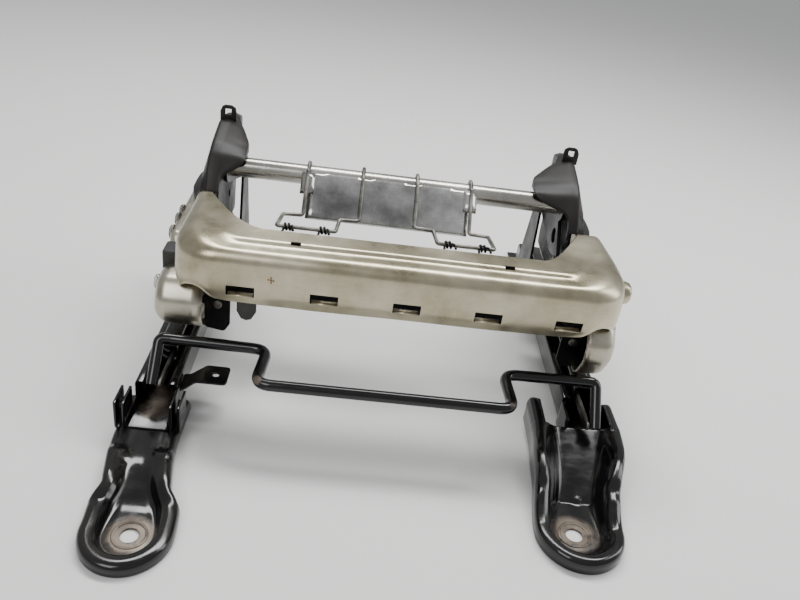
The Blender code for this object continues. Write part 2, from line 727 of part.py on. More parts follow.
def rear_link(side, sign):
    """A link welded on the torque tube; the right one carries the toothed sector."""
    eye_near = TUBE_RADIUS + 0.0075
    far_y, far_z = link_back, -link_drop
    if side == "left":
        outline = link_outline(far_y, far_z, eye_near, 0.0135)
    else:
        outline = []
        half_pitch = math.pi / SECTOR_TEETH
        phase = pinion_angle + half_pitch
        start = SECTOR_MIDDLE - SECTOR_SWEEP / 2
        end = SECTOR_MIDDLE + SECTOR_SWEEP / 2
        outline += gear_edge(sector_radius, SECTOR_TEETH, start, end, phase)
        angle = math.atan2(far_z, far_y)
        for k in range(7):
            turn = angle - math.pi / 2 + math.pi * k / 6
            outline.append((far_y + 0.0135 * math.cos(turn), far_z + 0.0135 * math.sin(turn)))
        for k in range(9):
            turn = angle + math.pi / 2 + math.radians(150) * k / 8
            outline.append((eye_near * math.cos(turn), eye_near * math.sin(turn)))
    holes = [(0.0, 0.0, TUBE_RADIUS + GAP), (far_y, far_z, PIVOT_RADIUS + GAP)]
    if side == "right":
        holes.append((sector_radius * 0.62 * math.cos(SECTOR_MIDDLE),
                      sector_radius * 0.62 * math.sin(SECTOR_MIDDLE), 0.009))
    add_piece(side + "_rear_link", flat_outline(outline, holes, LINK_SHEET), blue_black,
              "rear_links", (sign * REAR_LINK_X, TUBE_Y, TUBE_Z))


def torque_tube():
    half = TUBE_END_X
    wall = 0.0018
    profile = [(-half, TUBE_RADIUS), (half, TUBE_RADIUS), (half, TUBE_RADIUS - wall),
               (-half, TUBE_RADIUS - wall)]
    add_piece("rear_torque_tube", turned_x(profile, segments=20), bare_steel, "rear_links",
              (0.0, TUBE_Y, TUBE_Z))


def front_link(side, sign):
    outline = link_outline(link_back, -link_drop, 0.0135, 0.0125)
    holes = [(0.0, 0.0, PIVOT_RADIUS + GAP), (link_back, -link_drop, PIVOT_RADIUS + GAP)]
    add_piece(side + "_front_link", flat_outline(outline, holes, LINK_SHEET), blue_black,
              side + "_front_link", (sign * FRONT_LINK_X, FRONT_PIVOT_Y, FRONT_PIVOT_Z))


def pinion():
    """The small gear and its shaft, one turned and cut piece."""
    outline = gear_edge(pinion_radius, PINION_TEETH, 0.001, 2 * math.pi, pinion_angle + math.pi)
    gear = flat_outline(outline, [], LINK_SHEET + 0.002)
    place = (REAR_LINK_X, pinion_y, pinion_z)
    wheel = add_piece("lifter_pinion", gear, dull_steel, "pinion", place)
    shaft_end = RIGHT_WEB_X - 0.019 - REAR_LINK_X
    shaft = cylinder_x(0.0042, shaft_end, segments=16, centre=(shaft_end / 2, 0.0, 0.0))
    apply_boolean(wheel, cutter(shaft, "pinion", place), 'UNION')


def brake_drum():
    """The lifter's brake inside the right side member: a stepped drum on the pinion's shaft."""
    bore = 0.0042 + GAP
    start = PLATE_X + PLATE_SHEET / 2 + GAP
    end = RIGHT_WEB_X - MEMBER_SHEET - GAP
    profile = [(start, bore), (end, bore), (end, 0.0090), (end - 0.012, 0.0090),
               (end - 0.012, DRUM_RADIUS), (start + 0.009, DRUM_RADIUS), (start + 0.009, 0.0115),
               (start, 0.0115)]
    add_piece("lifter_brake_drum", turned_x(profile, segments=16), dull_steel,
              "cushion_frame", (0.0, pinion_y, pinion_z))


for side, sign in sides:
    rear_foot(side, sign)
    riser(side, sign, "front", front_low_y + 0.004, 0.056,
          FRONT_LINK_X - LINK_SHEET / 2 - 0.0025 - RISER_SHEET / 2, front_low_y, front_low_z)
    riser(side, sign, "rear", rear_pivot_y + 0.006, 0.074,
          REAR_LINK_X - LINK_SHEET / 2 - 0.0025 - RISER_SHEET / 2, rear_pivot_y, rear_pivot_z)
    rear_link(side, sign)
    front_link(side, sign)
connector_bracket()
torque_tube()
pinion()
brake_drum()


def pan_stations():
    """Outer and inner plan points and lower edge of the right half, middle to rear end."""
    straight = PAN_HALF - PAN_CORNER
    middle_y = PAN_FRONT_Y + PAN_CORNER
    stations = []
    for share in (0.0, 0.30, 0.60, 0.86, 1.0):
        lower = PAN_LOWER_Z + (0.003 if share == 1.0 else 0.0)
        stations.append(((straight * share, PAN_FRONT_Y), lower, PAN_ROLL))
    side_low = PAN_LOWER_Z + PAN_SIDE_RISE
    for degrees, rise in ((18, 0.0010), (38, 0.0080), (62, 0.0015), (90, 0.0)):
        angle = math.radians(degrees)
        roll = PAN_ROLL + (PAN_CORNER_ROLL - PAN_ROLL) * ease(degrees / 50.0)
        stations.append(((straight + PAN_CORNER * math.sin(angle),
                          middle_y - PAN_CORNER * math.cos(angle)), side_low + rise, roll))
    for share in (0.5, 1.0):
        roll = PAN_CORNER_ROLL + (PAN_END_ROLL - PAN_CORNER_ROLL) * share
        stations.append(((PAN_HALF - 0.001 * share,
                          middle_y + (PAN_REAR_Y - middle_y) * share), side_low, roll))
    inner_turn = (straight - 0.008, PAN_LEDGE_Y)
    inner_end = (PAN_HALF - 0.026, PAN_REAR_Y)
    result = []
    for index, (outer, lower, roll) in enumerate(stations):
        if index < 4:
            inner = (inner_turn[0] * index / 4, PAN_LEDGE_Y)
        else:
            t = (index - 4) / (len(stations) - 5)
            inner = (inner_turn[0] + (inner_end[0] - inner_turn[0]) * t,
                     inner_turn[1] + (inner_end[1] - inner_turn[1]) * t ** 1.25)
        result.append((Vector(outer), Vector(inner), lower, roll))
    return result


def pan_section(outer, inner, lower, roll):
    """Points from the turned-down rear lip, over the ledge and the roll, to the lower edge."""
    inward = inner - outer
    width = inward.length
    inward.normalize()
    step = PAN_STEP * PAN_ROLL / roll
    crest = PAN_TOP_Z - step
    across = min(roll, width * 0.72)
    down = min(roll, 0.024)
    ledge = width - across
    points = [(width, PAN_TOP_Z - 0.006), (width, PAN_TOP_Z),
              (width - 0.60 * ledge, PAN_TOP_Z), (width - 0.74 * ledge, crest)]
    for degrees in (0, 45, 90):
        angle = math.radians(degrees)
        points.append((across * (1 - math.sin(angle)), crest - down * (1 - math.cos(angle))))
    points.append((-PAN_BULGE, (crest - down + lower) / 2))
    points.append((0.0, lower))
    return [Vector((outer.x + inward.x * d, outer.y + inward.y * d, z)) for d, z in points]


def front_pan():
    """The stamped cross member: rolled front, ledge, wrapped ends, slots with turned lips."""
    half = [pan_section(*station) for station in pan_stations()]
    mirrored = [[Vector((-p.x, p.y, p.z)) for p in row] for row in reversed(half[1:])]
    place = (PAN_X, 0.0, 0.0)
    pan = add_piece("front_pan", grid(mirrored + half), bare_steel, "cushion_frame", place,
                    smooth=50.0)
    solidify(pan, PAN_SHEET)
    slots = []
    lips = []
    for k in range(SLOT_COUNT):
        x = SLOT_X - PAN_X + (k - (SLOT_COUNT - 1) / 2) * SLOT_PITCH
        slots.append(box((SLOT_WIDTH, 0.03, SLOT_HEIGHT), (x, PAN_FRONT_Y, SLOT_Z)))
        lips.append(box((SLOT_WIDTH - 0.004, 0.0072, 0.0013),
                        (x, PAN_FRONT_Y + 0.0030, SLOT_Z - SLOT_HEIGHT / 2)))
    for x in (-0.480 * PAN_HALF, 0.454 * PAN_HALF):
        slots.append(box((0.010, 0.005, 0.03), (x, PAN_LEDGE_Y - 0.0235, PAN_TOP_Z)))
    apply_boolean(pan, cutter(joined(slots), "cushion_frame", place))
    apply_boolean(pan, cutter(joined(lips), "cushion_frame", place), 'UNION')


def tray(outline, rims, face, sign):
    """A stamped tray: a web near X = face, a bevel, and a wall as deep as each rim says."""
    count = len(outline)
    web = face - MEMBER_SHEET / 2
    rim_row, bend_row, web_row = [], [], []
    for i, point in enumerate(outline):
        along = (outline[(i + 1) % count] - outline[i - 1]).normalized()
        inward = Vector((-along.y, along.x))
        bend = min(MEMBER_BEND, 0.7 * (web - rims[i]))
        inner = point + inward * bend
        rim_row.append(Vector((sign * rims[i], point.x, point.y)))
        bend_row.append(Vector((sign * (web - bend), point.x, point.y)))
        web_row.append(Vector((sign * web, inner.x, inner.y)))
    return [rim_row, bend_row, web_row]


def side_member(side, sign):
    """A pressed side member: a bulbous nose round the front pivot and a flanged web."""
    rim_nose = FRONT_LINK_X + LINK_SHEET / 2 + 0.0025
    rim_middle = PAN_HALF + sign * PAN_X + PAN_BULGE + PAN_SHEET / 2 + GAP
    rim_rear = PLATE_X + PLATE_SHEET / 2 + GAP
    nose_end, middle_end = 0.012, 0.088
    # Outline round the front pivot: the rounded nose, then the web's edge, then the top
    low = 0.030 if side == "left" else 0.041
    nose = [(0.028, 0.0445), (nose_end, 0.0225), (-0.004, 0.0335), (-0.044, 0.0335),
            (-0.047, -0.012), (-0.032, -low), (nose_end, 0.001 - low), (0.050, -0.016)]
    edge = [(0.095, -0.002), (0.188, 0.0), (0.200, 0.006), (0.205, 0.019), (0.205, 0.038),
            (0.198, 0.0455), (0.150, 0.0465), (0.095, 0.0460)]
    if side == "right":
        drum_y = pinion_y - FRONT_PIVOT_Y
        hood_z = pinion_z + DRUM_RADIUS + 0.0033 - FRONT_PIVOT_Z
        edge += [(drum_y + 0.0193, hood_z), (drum_y - 0.0177, hood_z), (0.040, 0.0450)]
    else:
        edge += [(0.083, 0.0455), (0.040, 0.0445)]
    rounded = round_corners([(0.0, y, z) for y, z in nose], 0.013, steps=2)
    offsets = [(p.y, p.z) for p in rounded] + edge
    outline = [Vector((FRONT_PIVOT_Y + y, FRONT_PIVOT_Z + z)) for y, z in offsets]
    rims = []
    for y, z in offsets:
        if y < nose_end:
            rims.append(rim_nose)
        elif y < middle_end:
            rims.append(rim_middle)
        else:
            rims.append(rim_rear)
    face = web_x[side]
    member = add_piece(side + "_side_member",
                       grid(tray(outline, rims, face, sign), closed=True, fan_last=True),
                       bare_steel, "cushion_frame", smooth=45.0)
    solidify(member, MEMBER_SHEET)
    hole = cylinder_x(PIVOT_RADIUS + GAP, 0.03, segments=12)
    spot = (sign * face, FRONT_PIVOT_Y, FRONT_PIVOT_Z)
    apply_boolean(member, cutter(hole, "cushion_frame", spot))


def cover_top(y):
    """Height of the rear cover's ridge above the tube's axis, at y behind that axis."""
    stops = ((-0.037, -0.0175), (-0.027, 0.0000), (-0.013, 0.0165), (0.002, 0.0240),
             (0.017, 0.0280), (0.042, 0.0340), (0.067, 0.0355), (0.089, 0.0285))
    for (y0, z0), (y1, z1) in zip(stops, stops[1:]):
        if y <= y1:
            return z0 + (z1 - z0) * (y - y0) / (y1 - y0)
    return stops[-1][1]


def recliner_plate(side, sign):
    """The upright plate that carries the torque tube's bushing under the rear cover."""
    outline = [(-0.035, -0.0955), (0.097, -0.0955), (0.103, -0.0475), (0.093, 0.0075)]
    for y in (0.081, 0.067, 0.042, 0.012, -0.007, -0.025):
        outline.append((y, cover_top(y) - 0.0065))
    outline.append((-0.035, -0.0475))
    bush = TUBE_RADIUS + 0.0028
    holes = [(0.0, 0.0, bush), (0.072, 0.0175, 0.0055)]
    if side == "right":
        holes.append((pinion_y - TUBE_Y, pinion_z - TUBE_Z, 0.0075))
    plate = flat_outline(outline, holes, PLATE_SHEET)
    add_piece(side + "_recliner_plate", plate, blue_black, "cushion_frame",
              (sign * PLATE_X, TUBE_Y, TUBE_Z))
    bore = TUBE_RADIUS + GAP
    inner = REAR_LINK_X + LINK_SHEET / 2 + GAP
    near = PLATE_X - PLATE_SHEET / 2 - GAP
    far = PLATE_X + PLATE_SHEET / 2 + 0.0015
    profile = [(inner, bore), (far, bore), (far, bush - GAP), (near, bush - GAP),
               (near, bush + 0.003), (inner, bush + 0.003)]
    add_piece(side + "_tube_bushing", turned_x([(sign * x, r) for x, r in profile], segments=16),
              dark_plastic, "cushion_frame", (0.0, TUBE_Y, TUBE_Z))


def rear_cover(side, sign):
    """A moulded shroud over the recliner plate, open below, with a slotted fixing tab."""
    # Behind the tube's axis, outside and inside the plate, and the two lower edges
    stations = (
        (-0.0370, 0.0175, 0.0050, -0.0295, -0.0255), (-0.0270, 0.0215, 0.0050, -0.0355, -0.0045),
        (-0.0225, 0.0230, 0.0125, -0.0375, 0.0020), (-0.0175, 0.0240, 0.0235, -0.0395, 0.0045),
        (-0.0130, 0.0247, 0.0285, -0.0415, 0.0125), (0.0170, 0.0235, 0.0285, -0.0445, 0.0125),
        (0.0670, 0.0095, 0.0095, -0.0475, 0.0125), (0.0890, 0.0085, 0.0085, -0.0455, 0.0125))
    rows = []
    for y, outside, inside, outer_low, inner_low in stations:
        outer = PLATE_X + outside
        inner = PLATE_X - inside
        brow = min(outer, PLATE_X + 0.0150)
        top = cover_top(y)
        turn = min((brow - inner) * 0.3, 0.009, (top - inner_low) * 0.8)
        row = [Vector((sign * outer, y, outer_low)),
               Vector((sign * outer, y, outer_low + (top - turn - outer_low) * 0.4))]
        for degrees in (0, 45, 90):
            angle = math.radians(degrees)
            row.append(Vector((sign * (brow - turn + turn * math.cos(angle)), y,
                               top - turn + turn * math.sin(angle))))
        for degrees in (90, 0):
            angle = math.radians(degrees)
            row.append(Vector((sign * (inner + turn - turn * math.cos(angle)), y,
                               top - turn + turn * math.sin(angle))))
        row.append(Vector((sign * inner, y, inner_low)))
        rows.append(row)
    place = (0.0, TUBE_Y, TUBE_Z)
    cover = add_piece(side + "_rear_cover", grid(rows), dark_plastic, "cushion_frame", place,
                      smooth=50.0)
    solidify(cover, COVER_SHEET)
    tab = box((0.018, 0.0024, 0.020), (sign * PLATE_X, 0.050, 0.0410))
    apply_boolean(cover, cutter(tab, "cushion_frame", place), 'UNION')
    slot = box((0.0070, 0.02, 0.0075), (sign * PLATE_X, 0.050, 0.0435))
    apply_boolean(cover, cutter(slot, "cushion_frame", place))


# The support plate's plane: from its lower edge up towards the torque tube
slope_low = Vector((0.0, TUBE_Y - 0.0490, TUBE_Z - 0.0275))
slope_high = Vector((0.0, TUBE_Y - 0.0125, TUBE_Z + 0.0080))


def support_plate():
    up = (slope_high - slope_low).normalized()
    right = Vector((1.0, 0.0, 0.0))
    normal = right.cross(up)
    length = (slope_high - slope_low).length
    half = SUPPORT_HALF
    ear = 0.009
    outline = [(-half, 0.0), (half, 0.0), (half, length * 0.55), (half + ear, length * 0.58),
               (half + ear, length * 0.98), (half, length), (-half, length),
               (-half - ear, length * 0.98), (-half - ear, length * 0.58), (-half, length * 0.55)]
    flat = flat_outline(outline, [], SUPPORT_SHEET)
    turn = Matrix((normal, right, up)).transposed()
    shape = bmesh.new()
    shape.from_mesh(flat)
    bmesh.ops.rotate(shape, matrix=turn, verts=shape.verts)
    shape.to_mesh(flat)
    shape.free()
    place = (WIRE_X, slope_low.y, slope_low.z)
    plate = add_piece("support_plate", flat, bare_steel, "cushion_frame", place)
    lip = box((2 * half - 0.004, 0.0016, 0.007), (0.0, 0.0006, -0.0030))
    apply_boolean(plate, cutter(lip, "cushion_frame", place), 'UNION')


front_wire_y = PAN_LEDGE_Y + 0.0145
front_wire_z = PAN_TOP_Z - 0.0015


def suspension_wire(side, first_x, sign):
    """A formed wire: it hooks over the tube twice, and its front run is clipped to the pan."""
    reach = TUBE_RADIUS + WIRE_RADIUS + GAP + 0.0008
    up = (slope_high - slope_low).normalized()
    off = Vector((0.0, -up.z, up.y)) * (SUPPORT_SHEET / 2 + WIRE_RADIUS + GAP)
    low = slope_low + off
    high = slope_high + off + up * 0.001
    second_x = first_x + WIRE_PITCH
    leg = []
    for degrees in (-48, -12, 24, 60, 96):
        angle = math.radians(degrees)
        leg.append((TUBE_Y + reach * math.cos(angle), TUBE_Z + reach * math.sin(angle)))
    leg.append((high.y, high.z))
    leg.append((low.y, low.z))
    step = 0.0225 * sign
    front = [Vector((first_x + step, front_wire_y, front_wire_z)),
             Vector((second_x + step, front_wire_y, front_wire_z))]
    middle = [Vector((first_x + step * 0.9, low.y - 0.006, low.z + 0.002)), *front,
              Vector((second_x + step * 0.9, low.y - 0.006, low.z + 0.002))]
    path = [Vector((first_x, *p)) for p in leg] + middle
    path += [Vector((second_x, *p)) for p in reversed(leg)]
    path = round_corners(path, 0.0035, steps=1)
    add_piece(side + "_suspension_wire", bar(path, WIRE_RADIUS, resolution=1), dull_steel,
              "cushion_frame")
    for k, x in enumerate((front[0].x + 0.012, front[1].x - 0.012)):
        lip = PAN_LEDGE_Y + PAN_SHEET / 2 + GAP
        outline = [(lip, front_wire_z - 0.004), (front_wire_y + 0.0045, front_wire_z - 0.004),
                   (front_wire_y + 0.0045, front_wire_z + 0.0035), (lip, front_wire_z + 0.0015)]
        hole = [(front_wire_y, front_wire_z, WIRE_RADIUS + GAP)]
        add_piece(f"{side}_wire_clip_{k + 1}", flat_outline(outline, hole, 0.008), dark_plastic,
                  "cushion_frame", (x, 0.0, 0.0))


def release_handle():
    """The towel bar: grip in front, legs back, arms out over the rails, ends turned down."""
    end_x = RAIL_X + 0.0032
    end_front = 0.152
    end_low = 0.0455
    points = []
    for sign, grip in ((-1, GRIP_LEFT_X), (1, GRIP_RIGHT_X)):
        half = [(sign * end_x, end_front, end_low),
                (sign * end_x, end_front + HANDLE_Z - end_low, HANDLE_Z),
                (sign * (end_x - 0.012), HANDLE_BACK_Y + 0.002, HANDLE_Z),
                (grip - sign * 0.004, HANDLE_BACK_Y, HANDLE_Z),
                (grip, GRIP_Y, HANDLE_Z)]
        points = points + half if sign < 0 else points + list(reversed(half))
    path = round_corners(points, 0.013, steps=2)
    add_piece("release_handle", bar(path, HANDLE_RADIUS, resolution=2), black_paint, "handle")
    for side, sign in sides:
        lever_x = end_x - HANDLE_RADIUS - GAP - LEVER_SHEET / 2
        back = HANDLE_PIVOT_Y - end_front - 0.003
        drop = HANDLE_PIVOT_Z - end_low
        outline = link_outline(back, drop, LEVER_HEIGHT / 2, LEVER_HEIGHT / 2 + 0.001)
        plate = flat_outline(outline, [(back, drop, 0.003 + GAP)], LEVER_SHEET)
        add_piece(side + "_release_lever", plate, dull_steel, "handle",
                  (sign * lever_x, end_front + 0.003, end_low))
        inner = UPPER_HALF - UPPER_SHEET - GAP
        pin = cylinder_x(0.003, 0.0062, segments=12)
        add_piece(side + "_lever_pin", pin, zinc, "carriage",
                  (sign * (RAIL_X - inner + 0.0031), HANDLE_PIVOT_Y, HANDLE_PIVOT_Z))
        latch_plate(side, sign)


def latch_plate(side, sign):
    """The sprung latch: teeth over the lower rail's notches, lifted by the lever."""
    x = RAIL_X + 0.0038
    length = 0.102
    teeth_low = RAIL_FLOOR_Z + LOWER_SHEET + 0.0008 - HANDLE_PIVOT_Z
    outline = [(0.005, -0.0045), (0.005, 0.0045), (-length + 0.012, 0.0045),
               (-length + 0.010, 0.0085), (-length, 0.0085), (-length, -0.0030)]
    first = -0.078
    for k in range(3):
        y = first + k * NOTCH_PITCH
        outline += [(y, -0.0030), (y + 0.0006, teeth_low), (y + 0.0040, teeth_low),
                    (y + 0.0046, -0.0030)]
    place = (sign * x, LATCH_PIVOT_Y, HANDLE_PIVOT_Z)
    holes = [(0.0, 0.0, 0.0022 + GAP)]
    latch = add_piece(side + "_latch_plate", flat_outline(outline, holes, 0.003), dull_steel,
                      side + "_latch", place)
    tab = box((0.0100, 0.0080, 0.0018), (-sign * 0.0040, -length + 0.004, 0.0076))
    apply_boolean(latch, cutter(tab, side + "_latch", place), 'UNION')
    inner = UPPER_HALF - UPPER_SHEET - GAP
    pin = cylinder_x(0.0022, 0.0062, segments=12)
    add_piece(side + "_latch_pin", pin, zinc, "carriage",
              (sign * (RAIL_X + inner - 0.0031), LATCH_PIVOT_Y, HANDLE_PIVOT_Z))


def fixings():
    for side, sign in sides:
        riser_gap = 0.0025 + RISER_SHEET
        inner = FRONT_LINK_X - LINK_SHEET / 2
        pivot_bolt(side + "_front_upper_bolt", "cushion_frame", sign, inner - 0.0012,
                   web_x[side] + 0.0050, FRONT_PIVOT_Y, FRONT_PIVOT_Z)
        pivot_bolt(side + "_front_lower_bolt", "carriage", sign, inner - riser_gap - 0.0048,
                   FRONT_LINK_X + LINK_SHEET / 2 + 0.0012, front_low_y, front_low_z, False)
        inner = REAR_LINK_X - LINK_SHEET / 2
        pivot_bolt(side + "_rear_lower_bolt", "carriage", sign, inner - riser_gap - 0.0048,
                   REAR_LINK_X + LINK_SHEET / 2 + 0.0015, rear_pivot_y, rear_pivot_z, False)
    tab = [(-0.0095, 0.0), (-0.0095, -0.016), (-0.005, -0.0245), (0.0, -0.0262),
           (0.005, -0.0245), (0.0095, -0.016), (0.0095, 0.0)]
    plate = flat_outline(tab, [], 0.003)
    shape = bmesh.new()
    shape.from_mesh(plate)
    bmesh.ops.rotate(shape, matrix=Matrix.Rotation(-math.pi / 2, 3, 'Z'), verts=shape.verts)
    shape.to_mesh(plate)
    shape.free()
    add_piece("pan_harness_clip", plate, dark_plastic, "cushion_frame",
              (-0.6145 * PAN_HALF, PAN_FRONT_Y + PAN_SHEET / 2 + GAP + 0.0015,
               PAN_LOWER_Z + 0.0055))
    start = PAN_X + PAN_HALF + PAN_BULGE + PAN_SHEET / 2 + GAP
    profile = [(start, 0.0035), (start, 0.0125), (start + 0.005, 0.0115), (start + 0.008, 0.0085),
               (start + 0.008, 0.0035)]
    add_piece("right_shield_boss", turned_x(profile, segments=14), dull_steel, "cushion_frame",
              (0.0, PAN_LEDGE_Y - 0.0020, PAN_LOWER_Z + 0.0310))


front_pan()
support_plate()
suspension_wire("left", WIRE_X - 1.5 * WIRE_PITCH, -1)
suspension_wire("right", WIRE_X + 0.5 * WIRE_PITCH, 1)
release_handle()
fixings()
for side, sign in sides:
    side_member(side, sign)
    recliner_plate(side, sign)
    rear_cover(side, sign)
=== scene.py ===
import math

import bmesh
import bpy
import numpy as np
from mathutils import Matrix, Vector
from mathutils.geometry import convex_hull_2d


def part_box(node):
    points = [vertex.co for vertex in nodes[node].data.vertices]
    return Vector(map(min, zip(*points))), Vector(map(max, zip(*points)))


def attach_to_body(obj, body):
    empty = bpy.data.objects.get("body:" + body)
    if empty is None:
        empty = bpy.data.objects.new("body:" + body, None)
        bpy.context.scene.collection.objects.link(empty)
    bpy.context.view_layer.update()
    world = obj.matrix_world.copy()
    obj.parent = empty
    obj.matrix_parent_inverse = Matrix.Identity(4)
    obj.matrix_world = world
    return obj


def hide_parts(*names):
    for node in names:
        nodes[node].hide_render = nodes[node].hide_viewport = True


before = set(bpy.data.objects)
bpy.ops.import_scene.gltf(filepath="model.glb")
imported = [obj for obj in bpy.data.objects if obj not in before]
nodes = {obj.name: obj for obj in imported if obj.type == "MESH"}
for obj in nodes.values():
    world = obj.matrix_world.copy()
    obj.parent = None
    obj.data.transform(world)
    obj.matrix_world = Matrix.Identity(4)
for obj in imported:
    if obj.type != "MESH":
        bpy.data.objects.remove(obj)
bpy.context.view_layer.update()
print("frame loaded:", len(nodes), "solids")

# All shapes below are in millimetres from the setting-out point of the part:
# the middle plane between the rails, the left front foot's bolt hole, and the floor
datum = Vector((-0.00225, -0.286795, 0.0))
sides = (("left", -1), ("right", 1))


def place(x, y, z):
    return Vector((x, y, z)) * 0.001 + datum


# colours are written as sRGB hex values, and the shaders want them linear
def linear(hexColour):
    values = [int(hexColour[i:i + 2], 16) / 255 for i in (1, 3, 5)]
    return tuple(v / 12.92 if v <= 0.04045 else ((v + 0.055) / 1.055) ** 2.4 for v in values) + (1.0,)


# settings go to a node's sockets or properties, and links feed its inputs
def setNode(tree, node, settings, links):
    for key, value in settings.items():
        if key == "stops":                                             # a ramp's spots and their tones
            for element, (spot, colour) in zip(node.color_ramp.elements, value):
                element.position = spot
                element.color = linear(colour) if isinstance(colour, str) else (colour, colour, colour, 1.0)
        elif isinstance(key, int) or key in node.inputs:
            node.inputs[key].default_value = value
        else:
            setattr(node, key, value)
    for key, source in links.items():
        tree.links.new(source, node.inputs[key])


def addNode(tree, kind, settings=None, links=None, out=0):
    node = tree.nodes.new("ShaderNode" + kind)
    setNode(tree, node, settings or {}, links or {})
    return node.outputs[out]


def newMaterial(name):
    made = bpy.data.materials.new(name)
    made.use_nodes = True
    tree = made.node_tree
    return made, tree, tree.nodes["Principled BSDF"], addNode(tree, "TexCoord", out="Object")


# A soft round mark about a point: nothing outside the rim, its full strength inside the core
def roundMark(tree, coords, spot, rim, core, strength):
    away = addNode(tree, "VectorMath", {"operation": "DISTANCE", 1: tuple(place(*spot))}, {0: coords}, "Value")
    return addNode(tree, "MapRange", {"From Min": rim * 0.001, "From Max": core * 0.001, "To Min": 0.0,
                                      "To Max": strength}, {"Value": away})


# Cold-rolled sheet steel, pressed and left bare under a film of oil: warm grey, with
# rolling lines along the sheet, cloudy oil smudges, faint scuffs and a few brown specks
def pressedSteelMaterial(name, light, dark, roughness, along, rusted=()):
    made, tree, shader, coords = newMaterial(name)
    # oil in patches of 70 mm; the rolling lines are drawn 1 mm apart, coarser than real ones, to show
    smudge = addNode(tree, "TexNoise", {"Scale": 14, "Detail": 6, "Roughness": 0.6}, {"Vector": coords})
    drawn = addNode(tree, "Mapping", {"Scale": along}, {"Vector": coords})
    lines = addNode(tree, "TexNoise", {"Scale": 18, "Detail": 4, "Roughness": 0.55}, {"Vector": drawn})
    slanted = addNode(tree, "Mapping", {"Scale": (0.25, 1.6, 1.0), "Rotation": (0.3, 0.5, 0.9)},
                      {"Vector": coords})
    scuff = addNode(tree, "TexVoronoi", {"feature": "DISTANCE_TO_EDGE", "Scale": 60}, {"Vector": slanted})
    specks = addNode(tree, "TexNoise", {"Scale": 240, "Detail": 2}, {"Vector": coords})     # 4 mm and less
    cloud = addNode(tree, "ValToRGB", {"stops": [(0.34, dark), (0.66, light)]}, {0: smudge})
    streaks = addNode(tree, "ValToRGB", {"stops": [(0.3, 0.62), (0.7, 1.0)]}, {0: lines})
    lined = addNode(tree, "Mix", {"data_type": "RGBA", "blend_type": "MULTIPLY", 0: 0.22},
                    {6: cloud, 7: streaks}, 2)
    rust = addNode(tree, "ValToRGB", {"stops": [(0.76, 0.0), (0.80, 0.7)]}, {0: specks})
    for x, y, z, radius in rusted:                                     # small rust marks
        mark = roundMark(tree, coords, (x, y, z), radius * 1.2, radius * 0.7, 0.9)
        rust = addNode(tree, "Math", {"operation": "MAXIMUM"}, {0: rust, 1: mark})
    coloured = addNode(tree, "Mix", {"data_type": "RGBA", 7: linear("#6B4A30")}, {0: rust, 6: lined}, 2)
    rough = addNode(tree, "MapRange", {"From Min": 0.3, "From Max": 0.7, "To Min": roughness[0],
                                       "To Max": roughness[1]}, {"Value": smudge})
    scratches = addNode(tree, "MapRange", {"From Min": 0.0, "From Max": 0.02, "To Min": 0.06, "To Max": 0.0},
                        {"Value": scuff})
    scratched = addNode(tree, "Math", {"operation": "ADD"}, {0: rough, 1: scratches})
    bump = addNode(tree, "Bump", {"Strength": 0.06, "Distance": 0.0004}, {"Height": lines})
    setNode(tree, shader, {"Metallic": 1.0}, {"Base Color": coloured, "Roughness": scratched, "Normal": bump})
    return made


